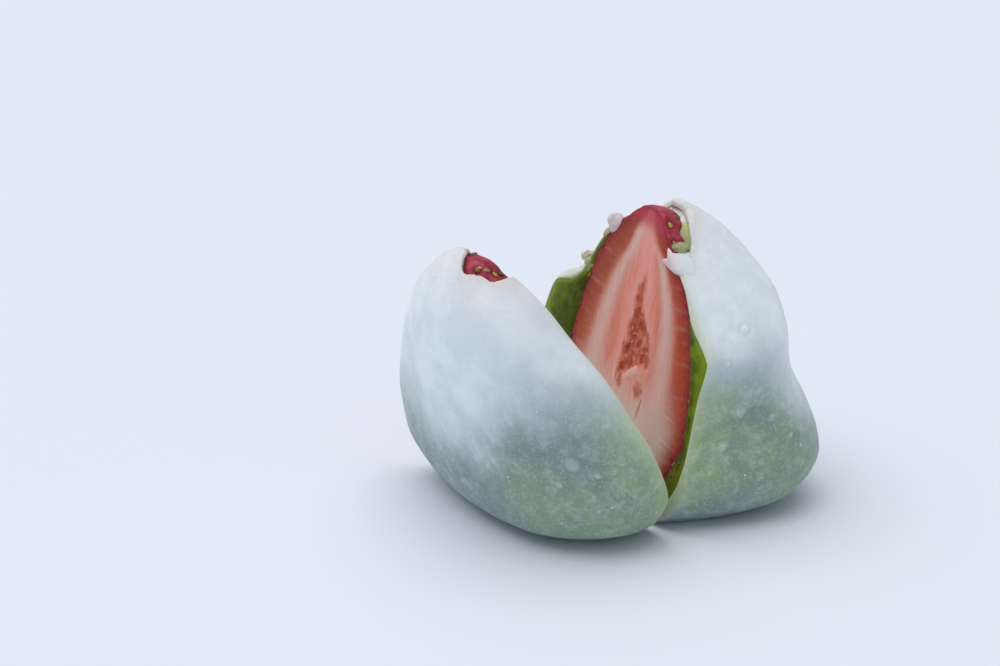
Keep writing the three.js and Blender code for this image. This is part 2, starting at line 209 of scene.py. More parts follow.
def smooth_through(stations, values):
    """A smooth curve through stations that never overshoots them, for numbers and arrays."""
    xs, ys = np.asarray(stations, float), np.asarray(values, float)
    steps = np.diff(xs)
    rises = np.diff(ys) / steps
    slopes = np.zeros_like(xs)
    slopes[0], slopes[-1] = rises[0], rises[-1]
    before = 2 * steps[1:] + steps[:-1]
    after = steps[1:] + 2 * steps[:-1]
    runs_on = np.flatnonzero(rises[:-1] * rises[1:] > 0)
    pull = before[runs_on] / rises[runs_on] + after[runs_on] / rises[runs_on + 1]
    slopes[runs_on + 1] = (before + after)[runs_on] / pull

    def curve(x):
        x = np.clip(x, xs[0], xs[-1])
        i = np.clip(np.searchsorted(xs, x, side="right") - 1, 0, len(steps) - 1)
        t = (x - xs[i]) / steps[i]
        rise = ys[i + 1] - ys[i]
        start_pull = slopes[i] * steps[i] - rise
        end_pull = rise - slopes[i + 1] * steps[i]
        return ys[i] + t * rise + t * (1 - t) * ((1 - t) * start_pull + t * end_pull)

    return curve


def read_table(rows, x, column=1):
    """A column of a table at x, smooth between its rows, whose first column x belongs to."""
    table = np.array(rows, float)
    return smooth_through(table[:, 0], table[:, column])(x)


def smooth_step(low, high, x):
    t = np.clip((x - low) / (high - low), 0, 1)
    return t * t * (3 - 2 * t)


def eased(share):
    """Shares from 0 to 1 that lie closer together at both ends."""
    return (share + (1 - np.cos(math.pi * share)) / 2) / 2


def mixed(a, b, share):
    return a + (b - a) * np.asarray(share)[..., None]


def unit(vectors):
    return vectors / np.maximum(np.linalg.norm(vectors, axis=-1, keepdims=True), 1e-12)


def cloud(points, size, seed, octaves=3):
    """Smooth random values from about -1 to 1, in lumps about as large as size."""
    places = points / size + 31.7 * seed
    return np.array([noise.fractal(place, 0.9, 2.0, octaves) for place in places.tolist()])


class Form:
    """A layer's outer shape: a point for each angle and height."""

    def __init__(self, levels, boxiness, drift, drift_fade):
        rows = np.array(levels)
        self.bottom, self.top = rows[0, 0], rows[-1, 0]
        self.front = smooth_through(rows[:, 0], rows[:, 1])
        self.rear = smooth_through(rows[:, 0], rows[:, 2])
        self.depth = smooth_through(rows[:, 0], rows[:, 3])
        self.boxiness, self.drift, self.drift_fade = boxiness, drift, drift_fade

    def middle(self, height):
        return (self.front(height) + self.rear(height)) / 2

    def half_width(self, height):
        return (self.rear(height) - self.front(height)) / 2

    def point(self, angle, height):
        share = height / self.top
        power = 2 / (self.boxiness[0] + (self.boxiness[1] - self.boxiness[0]) * share)
        across = np.cos(angle)
        v = self.depth(height) * np.maximum(np.sin(angle), 0) ** power
        sweep = np.sign(across) * np.abs(across) ** power
        toward_front = ((1 + across) / 2) ** self.drift_fade
        slide = (self.drift[0] + (self.drift[1] - self.drift[0]) * share) * toward_front * v
        u = self.middle(height) - self.half_width(height) * sweep - slide
        return np.stack([u, v, height + 0 * u], axis=-1)

    def inward(self, angle, height):
        """Unit vectors square to the surface, pointing in; along the cut where it is cut."""
        around = self.point(angle + TANGENT_STEP, height) - self.point(angle - TANGENT_STEP, height)
        up = self.point(angle, height + TANGENT_STEP) - self.point(angle, height - TANGENT_STEP)
        normal = np.cross(around, up)
        on_cut = (angle < TANGENT_STEP) | (angle > math.pi - TANGENT_STEP)
        normal[..., 1] = np.where(on_cut, 0, normal[..., 1])
        normal = unit(normal)
        level = 0 * height + (self.bottom + self.top) / 2
        centre = np.stack([self.middle(height), 0 * height, level], axis=-1)
        facing = np.sum(normal * (centre - self.point(angle, height)), axis=-1)
        return normal * np.where(facing < 0, -1, 1)[..., None]

    def distance(self, points, degrees, height):
        """How far points are from the surface's point at an angle and height."""
        return np.linalg.norm(points - self.point(np.radians(degrees), height), axis=1)


class Half:
    """One half of the rice cake: its layers' boundaries, and its place in the frame."""

    def __init__(self, spec, skin_thickness):
        self.spec, self.name, self.side = spec, spec["name"], spec["side"]
        self.seed = 1 if self.side > 0 else 2
        self.turn = -self.side * math.radians(spec["yaw"])
        self.slope = math.tan(math.radians(spec["lean"]))
        self.body, self.berry = Form(**spec["body"]), Form(**spec["berry"])
        self.base_middle = (self.body.point(0.0, 0.0) + self.body.point(math.pi, 0.0)) / 2
        self.skin_thickness = skin_thickness / MM

    def rim(self, angle):
        """Height of the torn rim, without the nicks of the tear."""
        return read_table(self.spec["rim"], np.degrees(angle))

    def torn_rim(self, angle):
        """Height of the torn rim, with its nicks."""
        places = np.stack([NICKS_ROUND * angle, 0 * angle, 0 * angle], axis=-1)
        nicks = cloud(places, 1, self.seed, 2)
        return self.rim(angle) - NICK_DEPTH * np.clip(nicks + 0.3, 0, 1) * np.sin(angle)

    def facing_height(self, height):
        """The height on the berry that faces a height of the surface."""
        lifted = height + BERRY_LIFT * np.maximum(0, 1 - height / LIFT_FADE) ** 2
        soft_start = self.berry.top - TIP_ROOM
        beyond = np.minimum(soft_start - lifted, 0)
        softened = soft_start + TIP_SOFTENING * (1 - np.exp(beyond / TIP_SOFTENING))
        return np.where(lifted <= soft_start, lifted, softened)

    def skin_depth(self, angle, height):
        """The skin's thickness: a share of the room over the berry, up to the full thickness, and
        thinner where it is drawn out round the bare tip and at the rear end of the cut."""
        degrees = np.degrees(angle)
        below_rim = self.rim(angle) - height
        gap = self.body.point(angle, height) - self.berry.point(angle, self.facing_height(height))
        room = np.linalg.norm(gap, axis=-1)
        extra = read_table(self.spec["front_share"], height) - SKIN_SHARE
        fill = np.maximum(extra, 0) * smooth_step(*FILL_ANGLES, degrees)
        thin_edge = np.minimum(extra, 0) * smooth_step(*THIN_EDGE_ANGLES, degrees)
        at_rim = (RIM_SHARE - SKIN_SHARE) * smooth_step(*RIM_SHARE_BELOW, below_rim)
        share = SKIN_SHARE + thin_edge + np.maximum(fill, at_rim)
        thickness = np.minimum(self.skin_thickness, share * room)
        drawn = smooth_step(*DRAWN_BELOW, below_rim) * smooth_step(*DRAWN_ANGLES, degrees)
        drawn *= 1 - smooth_step(*self.spec["drawn_ends"], degrees)
        thickness = thickness * (1 - RIM_THINNING * drawn)
        at_rear = read_table(self.spec["rear_share"], height) - 1
        return thickness * (1 + at_rear * smooth_step(*REAR_ANGLES, degrees))

    def within(self, angle, height, depth):
        """Points at a depth under the surface."""
        return self.body.point(angle, height) + self.body.inward(angle, height) * depth[..., None]

    def to_frame(self, points):
        """The half's own points as points of the model's frame, in metres."""
        u, v, z = points.T
        back = self.side * (v + self.slope * z)
        x = back * math.cos(self.turn) - u * math.sin(self.turn) + self.spec["corner"][0]
        y = back * math.sin(self.turn) + u * math.cos(self.turn) + self.spec["corner"][1]
        return np.stack([x, y, z], axis=-1) * MM


# ---- meshes -------------------------------------------------------------------------------


class Shape:
    """A piece's closed mesh, put together from sheets or balls, with marks for its material."""

    def __init__(self, half, marks):
        self.half = half
        self.bm = bmesh.new()
        self.layers = {mark: self.bm.verts.layers.float.new(mark) for mark in marks}

    def put(self, verts, points, marks):
        """Moves corners to points of the half, and gives them their marks."""
        for vert, point in zip(verts, self.half.to_frame(points).tolist()):
            vert.co = point
        for mark, values in marks.items():
            layer = self.layers[mark]
            for vert, value in zip(verts, np.broadcast_to(values, len(verts)).tolist()):
                vert[layer] = value

    def sheet(self, columns, rows, place, *details):
        """A grid of faces whose corners go where place puts their shares across and up."""
        made = bmesh.ops.create_grid(self.bm, x_segments=columns, y_segments=rows, size=0.5)
        shares = np.array([vert.co[:2] for vert in made["verts"]]) + 0.5
        self.put(made["verts"], *place(self.half, *details, shares[:, 0], shares[:, 1]))

    def ball(self, subdivisions, radius):
        """The corners of a new ball, and their ways from its middle."""
        made = bmesh.ops.create_icosphere(self.bm, subdivisions=subdivisions, radius=radius)
        return made["verts"], np.array([vert.co for vert in made["verts"]])

    def finish(self, kind, material, node_kind=None):
        """Adds the piece, welded where its sheets meet, with its faces turned outwards."""
        bmesh.ops.remove_doubles(self.bm, verts=self.bm.verts, dist=WELD_DISTANCE * MM)
        bmesh.ops.recalc_face_normals(self.bm, faces=self.bm.faces)
        for face in self.bm.faces:
            face.smooth = True
        piece = add_piece(f"{self.half.name}_{kind}", self.bm, material)
        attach(piece, "root")
        if node_kind:
            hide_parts(f"{self.half.name}_{node_kind}")


def add_piece(name, bm, material):
    mesh = bpy.data.meshes.new(name)
    bm.to_mesh(mesh)
    bm.free()
    mesh.materials.append(material)
    piece = bpy.data.objects.new(name, mesh)
    bpy.context.scene.collection.objects.link(piece)
    return piece


FOOT_SHARE = 0.05  # of a sheet's rows, those over the flat base
RING_SPREAD = 1.6  # how much closer rings lie by the edge than by the middle


def sheet_coordinates(across, up, rim, under=0):
    """For shares across and up a layer that ends somewhat under a rim: angle, height, share of
    the way out over the base, and distance below the layer's end."""
    angle = math.pi * eased(across)
    foot = np.clip(up / FOOT_SHARE, 0, 1)
    top = rim(angle) - under
    height = eased(np.clip((up - FOOT_SHARE) / (1 - FOOT_SHARE), 0, 1)) * top
    return angle, height, foot, np.where(foot < 1, FAR, top - height)


def edge_walk(share, columns, rows):
    """The way round a half's sheet: up its front edge, along its rim, down its rear edge and
    back along its foot, as shares across and up."""
    whole = 2 * (columns + rows)
    step = share * whole
    across = np.minimum(step - rows, whole - step) / columns
    up = np.minimum(step, 2 * rows + columns - step) / rows
    return np.clip(across, 0, 1), np.clip(up, 0, 1)


def ringed(across, up, ring):
    """Shares across and up that close in on the middle of the sheet as ring goes to 1."""
    return across + (0.5 - across) * ring, up + (0.5 - up) * ring


def lip_drop(distance, radius):
    """How far a surface has sunk at a distance from the edge that it rounds over into."""
    t = np.clip(1 - distance / radius, 0, 1)
    return radius * (1 - np.sqrt(1 - t * t))


# ---- skin ---------------------------------------------------------------------------------

SKIN_MARKS = ["green", "damp", "lip", "blister", "blush", "stain"]
SKIN_COLUMNS = 250
SKIN_ROWS = 270
SKIN_LIP_ROWS = 8
SKIN_INNER_ROWS = 12
LIP_RADIUS = 0.5
LIP_SHARE = 0.42  # the most of the skin's thickness that each rounded side of the lip takes
LIP_SWELL = 0.16  # how far the lip swells out, as a share of the thickness
# Depth and size of the soft dents, pulls and grains all over the skin.
SOFT_DEPTH, SOFT_SIZE = 0.22, 9
PULL_DEPTH, PULL_SIZE = 0.1, 2.6
GRAIN_DEPTH, GRAIN_SIZE = 0.03, 0.7
BLISTER_HEIGHT = 0.16

# Places [angle in degrees, height, reach] where the paste shines green through the skin.
GREEN_PLACES = {
    "right": [
        [3, 18, 5], [4, 11, 6], [100, 13, 8], [25, 12, 6], [45, 5, 8], [80, 42, 3], [125, 10, 8],
    ],
    "left": [
        [4, 22, 4], [4, 14, 6], [18, 18, 5], [22, 12, 5], [60, 5, 7], [80, 10, 6], [30, 4, 6],
    ],
}
GREEN_BESIDE_CUT = 3.4  # how far the paste shines through from the front edge of the cut
# How far the colours of the lip and of thin and stained skin reach from the edges.
LIP_REACH = 0.9
BLUSH_REACH = 2.5
STAIN_REACH = 0.5

# The skin is darker low down, mostly at the front: partly damp skin that has lost its starch,
# partly painted shade on its lower parts, as [angle in degrees, height below which it is damp and shaded].
DAMP_AND_SHADE_BELOW = {
    "right": [[0, 26.5], [20, 26], [35, 22.5], [50, 17], [80, 14], [130, 12], [180, 14]],
    "left": [
        [0, 20], [12, 21], [30, 25.5], [50, 26], [70, 25], [90, 22.5], [110, 17], [130, 15],
        [155, 18], [180, 18],
    ],
}

DAMP_AND_SHADE_WANDER, DAMP_AND_SHADE_SIZE = 1.8, 9  # how far that height wanders, in lumps of what size
DAMP_AND_SHADE_FADE = (8, -13)  # heights over it between which the skin goes from dry to damp and shaded

# Small blisters, as [angle in degrees, height, radius].
BLISTERS = {
    "right": [
        [19, 29.5, 0.6], [6, 25.8, 0.5], [14, 17.8, 0.8], [27, 16.2, 0.65], [8, 13.2, 0.75],
        [35, 13, 0.5],
    ],
    "left": [
        [58, 15.5, 1.1], [107, 27.2, 0.45], [48, 13.8, 0.5], [67, 12.2, 0.6], [110, 16.8, 0.5],
    ],
}

# Places where the skin is pressed in, as [angle in degrees, height, reach, depth].
DENTS = {
    "right": [[14, 21.5, 4.5, 0.3], [40, 24, 6, 0.3]],
    "left": [[157, 23.5, 8, 0.55], [150, 16, 6, 0.3], [95, 27, 6, 0.3]],
}


def skin_relief(half, points, blister):
    """How far the skin lies under its smooth form: dents, pulls and grains, less its blisters."""
    depth = SOFT_DEPTH * (0.5 + 0.5 * cloud(points, SOFT_SIZE, half.seed, 2))
    for degrees, height, reach, dent in DENTS[half.name]:
        depth += dent * np.exp(-((half.body.distance(points, degrees, height) / reach) ** 2))
    depth += PULL_DEPTH * (0.5 + 0.5 * cloud(points * [1, 1, 0.5], PULL_SIZE, half.seed + 3, 3))
    depth += GRAIN_DEPTH * cloud(points, GRAIN_SIZE, half.seed + 5, 2)
    foot_fade = smooth_step(0, 4, points[:, 2])
    edge_fade = 0.35 + 0.65 * smooth_step(0, 5, points[:, 1])
    return foot_fade * edge_fade * np.maximum(depth - BLISTER_HEIGHT * blister, 0)


def blister_marks(half, points):
    """1 on the middle of a blister and below 0 in the groove round it."""
    total = np.zeros(len(points))
    for degrees, height, radius in BLISTERS[half.name]:
        away = half.body.distance(points, degrees, height) / radius
        total += np.exp(-(away**4)) - 0.6 * np.exp(-(((away - 1.35) / 0.35) ** 2))
    return total


def green_marks(half, points):
    total = np.zeros(len(points))
    for degrees, height, reach in GREEN_PLACES[half.name]:
        total += np.exp(-((half.body.distance(points, degrees, height) / reach) ** 2))
    return np.clip(total, 0, 1)


# Painted shade and damp: how far the skin is drawn darker low down, partly as damp skin and partly as painted
# shade.
def dampness_and_shade(half, angle, points):
    line = read_table(DAMP_AND_SHADE_BELOW[half.name], np.degrees(angle))
    line = line + DAMP_AND_SHADE_WANDER * cloud(points, DAMP_AND_SHADE_SIZE, half.seed + 23, 3)
    return smooth_step(*DAMP_AND_SHADE_FADE, points[:, 2] - line)


def skin_outer(half, across, up):
    """The skin's outer face, which rounds over into the lips of the cut and the rim."""
    angle, height, foot, below_rim = sheet_coordinates(across, up, half.torn_rim)
    smooth = half.body.point(angle, height)
    radius = np.minimum(LIP_RADIUS, LIP_SHARE * half.skin_depth(angle, height))
    drop = np.maximum(lip_drop(smooth[:, 1], radius), lip_drop(below_rim, radius))
    blister = blister_marks(half, smooth)
    points = half.within(angle, height, drop + skin_relief(half, smooth, blister))
    points = mixed(half.base_middle, points, foot)
    from_edge = np.minimum(points[:, 1], below_rim)
    left = half.side < 0
    shine = np.exp(-((smooth[:, 1] / GREEN_BESIDE_CUT) ** 1.5)) * (across < 0.5)
    shine *= smooth_step(26, 19, height) * smooth_step(2, 7, height)
    marks = {
        "green": np.clip(0.6 * green_marks(half, points) + shine, 0, 1),
        "damp": dampness_and_shade(half, angle, points) * (1 - 0.3 * shine * left),
        "lip": np.exp(-from_edge / LIP_REACH),
        "blister": np.clip(blister, 0, 1),
        "blush": half.spec["blush"] * np.exp(-below_rim / BLUSH_REACH),
        "stain": np.maximum(0.3 * np.exp(-from_edge / STAIN_REACH), 0.5 * shine**2 * left),
    }
    return points, marks


def skin_inner(half, share, up):
    """Over the lip of the cut and the rim, and then in rings over the inner face."""
    lip_share = SKIN_LIP_ROWS / (SKIN_LIP_ROWS + SKIN_INNER_ROWS)
    over_lip = np.clip(up / lip_share, 0, 1)
    ring = np.clip((up - lip_share) / (1 - lip_share), 0, 1) ** RING_SPREAD
    across, side = edge_walk(share, SKIN_COLUMNS, SKIN_ROWS)
    edge, marks = skin_outer(half, across, side)
    coordinates = sheet_coordinates(*ringed(across, side, ring), half.torn_rim)
    angle, height, foot, below_rim = coordinates
    thickness = half.skin_depth(angle, height)
    middle = half.base_middle + [0, 0, BASE_SKIN]
    inner = mixed(middle, half.within(angle, height, thickness), foot)
    points = mixed(edge, inner, over_lip)
    swell = LIP_SWELL * thickness * np.sin(math.pi * over_lip) * (over_lip < 1)
    points[:, 1] -= swell * np.clip(1 - edge[:, 1] / thickness, 0, 1)
    points[:, 2] += swell * np.clip(1 - below_rim / thickness, 0, 1)
    fade = 1 - smooth_step(0, 0.3, ring)
    marks = {mark: values * fade for mark, values in marks.items()}
    marks["green"] = np.maximum(marks["green"], 0.5 * over_lip * (ring > 0))
    marks["damp"] = np.maximum(marks["damp"], 0.25 * over_lip)
    veiled = smooth_step(30, 50, np.degrees(angle)) * smooth_step(4, 1, below_rim)
    stain = 0.8 * over_lip * (1 - 0.8 * veiled * (half.side > 0))
    marks["stain"] = np.maximum(marks["stain"], stain)
    return points, marks


def make_skin(half, material):
    shape = Shape(half, SKIN_MARKS)
    shape.sheet(SKIN_COLUMNS, SKIN_ROWS, skin_outer)
    loop = 2 * (SKIN_COLUMNS + SKIN_ROWS)
    shape.sheet(loop, SKIN_LIP_ROWS + SKIN_INNER_ROWS, skin_inner)
    shape.finish("mochi_skin", material, "skin")


# ---- paste --------------------------------------------------------------------------------

PASTE_MARKS = ["smear", "crumb", "low", "deep", "high", "veil"]
PASTE_COLUMNS = 150
PASTE_SIDE_ROWS = 220
PASTE_BAND_ROWS = 44
PASTE_RING_ROWS = 7
PASTE_BELOW_RIM = 0.35
PASTE_IN_BERRY = 0.6
PASTE_IN_BASE = 0.3
PASTE_IN_SKIN = 0.05
PASTE_IN_FOOT = 0.5  # how much further it runs into the skin near the base
PASTE_SWELL = [[0, 0.1], [12, 0.15], [22, 0.7], [30, 0.45], [36, 0.1]]  # out of the cut, by height
# How deep the paste has sunk beside the skin and beside the berry, and how far that reaches.
SKIN_NOTCH, SKIN_NOTCH_REACH = 0.35, 0.35
BERRY_NOTCH, BERRY_NOTCH_REACH = 0.6, 0.5
CUT_REACH = 1.5  # how far behind the cut and below the rim the band of paste moves with them
WAVE_DEPTH, WAVE_SIZE = 0.17, 2.2
CRUMB_DEPTH, CRUMB_SIZE = 0.07, 0.6
BEHIND_TIP = (0.45, 0.8)  # radians over which the back of the tip begins


def paste_point(half, share, up):
    """One closed skin of paste: rings on its outer face, the cut band, rings on its inner face."""
    row = up * (PASTE_BAND_ROWS + 2 * PASTE_RING_ROWS) - PASTE_RING_ROWS
    band = np.clip(row / PASTE_BAND_ROWS, 0, 1)
    past_band = np.maximum(-row, row - PASTE_BAND_ROWS)
    ring = np.clip(past_band / PASTE_RING_ROWS, 0, 1) ** RING_SPREAD
    across, side = ringed(*edge_walk(share, PASTE_COLUMNS, PASTE_SIDE_ROWS), ring)
    coordinates = sheet_coordinates(across, side, half.rim, PASTE_BELOW_RIM)
    angle, height, foot, below_rim = coordinates
    skin = half.skin_depth(angle, height)
    overlap = PASTE_IN_SKIN + PASTE_IN_FOOT * smooth_step(10, 4, height)
    outer = half.within(angle, height, skin - np.minimum(overlap, 0.4 * skin))
    past_front = smooth_step(*BEHIND_TIP, angle)
    behind_tip = past_front * (half.side > 0)
    facing = half.facing_height(height) + 0.5 * behind_tip * smooth_step(2.5, 0.5, below_rim)
    inner = half.berry.point(angle, facing)
    inner = inner + half.berry.inward(angle, facing) * PASTE_IN_BERRY
    outer = mixed(half.base_middle + [0, 0, BASE_SKIN - PASTE_IN_BASE], outer, foot)
    inner = mixed(half.base_middle + [0, 0, half.berry.bottom + PASTE_IN_BASE], inner, foot)
    points = mixed(outer, inner, band)
    width = np.linalg.norm(inner - outer, axis=1)
    rise = read_table(PASTE_SWELL, height) * np.clip(width / 4, 0, 1) * np.sin(math.pi * band) ** 0.6
    sink = SKIN_NOTCH * np.exp(-band * width / SKIN_NOTCH_REACH)
    sink += BERRY_NOTCH * np.exp((band - 1) * width / BERRY_NOTCH_REACH)
    sink *= 1 - 0.7 * smooth_step(36, 39, height)
    on_band = (ring == 0).astype(float)
    relief = WAVE_DEPTH * cloud(points, WAVE_SIZE, half.seed + 8, 3)
    relief += CRUMB_DEPTH * cloud(points, CRUMB_SIZE, half.seed + 9, 2)
    relief *= on_band * np.sin(math.pi * band) ** 0.4
    out = on_band * (rise - sink) + relief
    on_cut = np.clip(1 - half.body.point(angle, height)[:, 1] / CUT_REACH, 0, 1)
    on_cut = np.where(foot > 0, on_cut, 1)
    on_rim = np.clip(1 - below_rim / CUT_REACH, 0, 1)
    points[:, 1] -= on_cut * out
    points[:, 2] += on_rim * (1 - on_cut) * out
    points[:, 2] = np.maximum(points[:, 2], 0.3)
    level = points[:, 2]
    marks = {
        "smear": smooth_step(0.45, 0.0, band) * on_band,
        "crumb": np.clip(0.5 + relief / 0.3, 0, 1),
        "low": smooth_step(16, 4, level),
        # deep: darker paste beside the berry, painted shade in the crevice where the paste sinks.
        "deep": smooth_step(0.55, 1.0, band) * on_band,
        # high: pale smears toward the torn rim; its fade lower down keeps the paste below the tip darker, as
        # painted shade.
        "high": smooth_step(36, 40.5, level),
        "veil": smooth_step(40.3, 41.6, level + 0.6 * behind_tip) * past_front,
    }
    return points, marks


def make_paste(half, material):
    shape = Shape(half, PASTE_MARKS)
    loop = 2 * (PASTE_COLUMNS + PASTE_SIDE_ROWS)
    shape.sheet(loop, PASTE_BAND_ROWS + 2 * PASTE_RING_ROWS, paste_point)
    shape.finish("bean_paste", material, "paste")


# ---- berry --------------------------------------------------------------------------------

BERRY_MARKS = [
    "back", "dimple", "edge", "deep", "pale", "outer", "salmon", "pink", "ray", "streak",
    "hollow", "froth", "grain", "foot", "tip", "ripe",
]
BERRY_ROWS = 300
BERRY_COLUMNS = 110
FACE_COLUMNS = 180
OUTLINE_STEPS = 240
SEED_SPACING = 2.7
SEED_ROW_SHARE = 0.9  # of the spacing, from one row of seeds to the next
SEED_NUDGE = 0.12  # of the spacing, the most that a seed is out of line
DIMPLE_DEPTH = 0.45
DIMPLE_REACH = 0.66
DIMPLE_RISE = 0.16  # how far the flesh swells out between the dimples

# The hollow core as [height, middle beside the berry's own middle, half width].
HOLLOW = [
    [15.4, 1.8, 0.0],
    [16.2, 1.8, 0.5],
    [17.8, 1.9, 0.8],
    [19.3, 0.8, 2.1],
    [21.0, -1.0, 3.6],
    [23.4, -1.2, 3.2],
    [25.2, -0.9, 2.7],
    [26.8, -0.5, 1.8],
    [28.7, 0.0, 1.2],
    [31.0, -0.3, 0.8],
    [33.3, -0.7, 0.25],
    [34.2, -0.9, 0.0],
]
HOLLOW_DEPTH = 0.9
HOLLOW_RAGGED, HOLLOW_LUMPS = 0.55, 0.9  # how ragged its outline is, in lumps of what size
# How far threads, vessels and froth stand out of the cut face.
THREAD_RISE = 0.04
VESSEL_RISE = 0.06
FROTH_RISE = 0.12
FACE_LIP = 0.5  # radius of the cut face's rounded edge
RIND_REACH = 0.65  # how far the rind's colour reaches in from the outline
# Patches at its foot, each [height, place beside the berry's middle, half length, half width, turn
# in degrees]: a pale frothy one and a small brown one with a thin tail.
FROTH = [19.0, -1.0, 2.4, 0.65, 33]
SPOTS = [[17.0, -3.1, 1.3, 1.2, 60], [14.6, -4.3, 1.5, 0.25, 80]]

# The pale vessels as [height, share from the middle to the outline at the rear, share at the
# front, half width share].
VESSELS = [
    [3.4, 0.50, 0.50, 0.20],
    [12, 0.55, 0.53, 0.18],
    [17.5, 0.57, 0.51, 0.15],
    [23, 0.56, 0.53, 0.12],
    [28.8, 0.50, 0.55, 0.11],
    [33.8, 0.40, 0.50, 0.11],
    [36.4, 0.30, 0.47, 0.11],
    [38.8, 0.26, 0.30, 0.14],
    [43.1, 0.20, 0.20, 0.20],
]

# The seeds from here up are set one by one, and so are some on the front outline, as [angle in
# degrees, height, tone from dried to ripe, size].
TIP_FROM = 38.6
TIP_SEEDS = {
    "right": [
        [16, 41.0, 1, 1],
        [60, 41.2, 0.2, 1.25],
        [30, 39.6, 0.1, 0.8],
        [8, 39.0, 0.5, 0.9],
        [120, 40.6, 0.6, 1],
        [0, 31.4, 0.0, 1.1],
        [0, 27.3, 0.0, 1.2],
        [0, 14.8, 0.1, 1.1],
    ],
    "left": [
        [119, 40.7, 0.45, 1.5],
        [138, 41.7, 0.15, 1.25],
        [168, 41.3, 0.0, 1.4],
        [64, 40.7, 0.25, 1.1],
        [25, 39.9, 1, 1],
        [9, 39.7, 0.1, 0.9],
        [88, 39.3, 0.6, 1],
    ],
}


def seed_places(half):
    """The seeds on the berry's round back as [angle, height, tone, size]: in staggered rows, and
    then those that are set one by one."""
    rng = np.random.default_rng(40 + half.seed)
    places = []
    row = 0
    height = half.berry.bottom + 1.5
    while height < TIP_FROM:
        arc = half.berry.point(np.linspace(0, math.pi, 41), np.full(41, height))
        length = np.sum(np.linalg.norm(np.diff(arc, axis=0), axis=1))
        count = max(1, round(length / SEED_SPACING))
        for i in range(count + 1):
            share = (i + 0.5 * (row % 2)) / count
            if share <= 1:
                nudge = rng.uniform(-SEED_NUDGE, SEED_NUDGE, 2)
                angle = math.pi * np.clip(share + nudge[0] / count * (0 < share < 1), 0, 1)
                tone = rng.uniform(0, 0.6)
                places.append([angle, height + nudge[1] * SEED_SPACING, tone, rng.uniform(0.85, 1.1)])
        height += SEED_SPACING * SEED_ROW_SHARE
        row += 1
    for degrees, level, tone, size in TIP_SEEDS[half.name]:
        places.append([math.radians(degrees), level, tone, size])
    return np.array(places)


def berry_back(half, places, across, up):
    """The berry's round side, dimpled at its seeds."""
    angle = math.pi * eased(across)
    height = half.berry.bottom + (half.berry.top - half.berry.bottom) * eased(up)
    smooth = half.berry.point(angle, height)
    dimples = np.zeros(len(smooth))
    for centre in half.berry.point(places[:, 0], places[:, 1]):
        away = np.linalg.norm(smooth - centre, axis=1) / DIMPLE_REACH
        dimples = np.maximum(dimples, np.exp(-(away**2)))
    depth = DIMPLE_DEPTH * dimples - DIMPLE_RISE + 0.06 * cloud(smooth, 1, half.seed + 11, 2)
    fade = np.clip(half.berry.half_width(height) / 2, 0, 1) ** 1.5
    points = smooth + half.berry.inward(angle, height) * (depth * fade)[:, None]
    return points, {"back": 1.0, "dimple": dimples, "edge": np.exp(-smooth[:, 1] / 0.6)}


def outline_distance(half, places, points):
    """How far points of the cut face are from its outline."""
    steps = np.linspace(0, 1, OUTLINE_STEPS)
    distance = np.full(len(points), FAR)
    for end in (0.0, 1.0):
        outline, _ = berry_back(half, places, np.full(OUTLINE_STEPS, end), steps)
        for u, _, z in outline:
            distance = np.minimum(distance, np.hypot(points[:, 0] - u, points[:, 2] - z))
    return distance


def patch(points, beside, place, seed):
    """1 at the middle of a ragged round patch of the cut face, falling to 0 at its outline."""
    level, middle, length, width, turn = place
    a, b = beside - middle, points[:, 2] - level
    c, s = math.cos(math.radians(turn)), math.sin(math.radians(turn))
    away = np.hypot((a * c - b * s) / length, (a * s + b * c) / width)
    return smooth_step(1.25, 0.55, away + 0.35 * cloud(points, 0.6, seed, 3))


def seed_rays(half, places, points, beside, raggedness):
    """Pale lines that run into the cut face from the seeds on its outline."""
    rays = np.zeros(len(points))
    rng = np.random.default_rng(70 + half.seed)
    for angle, level, _, _ in places:
        if angle in (0.0, math.pi):
            inward = np.abs(points[:, 0] - half.berry.point(angle, level)[0])
            same_side = (beside < 0) == (angle == 0.0)
            strength = rng.uniform(0.25, 1) * (0.9 if angle else 0.5)
            reach = strength * smooth_step(6.5, 0.5, inward) * raggedness
            line = np.exp(-(((points[:, 2] - level + 0.16 * inward) / 0.28) ** 2))
            rays = np.maximum(rays, line * reach * same_side)
    return rays


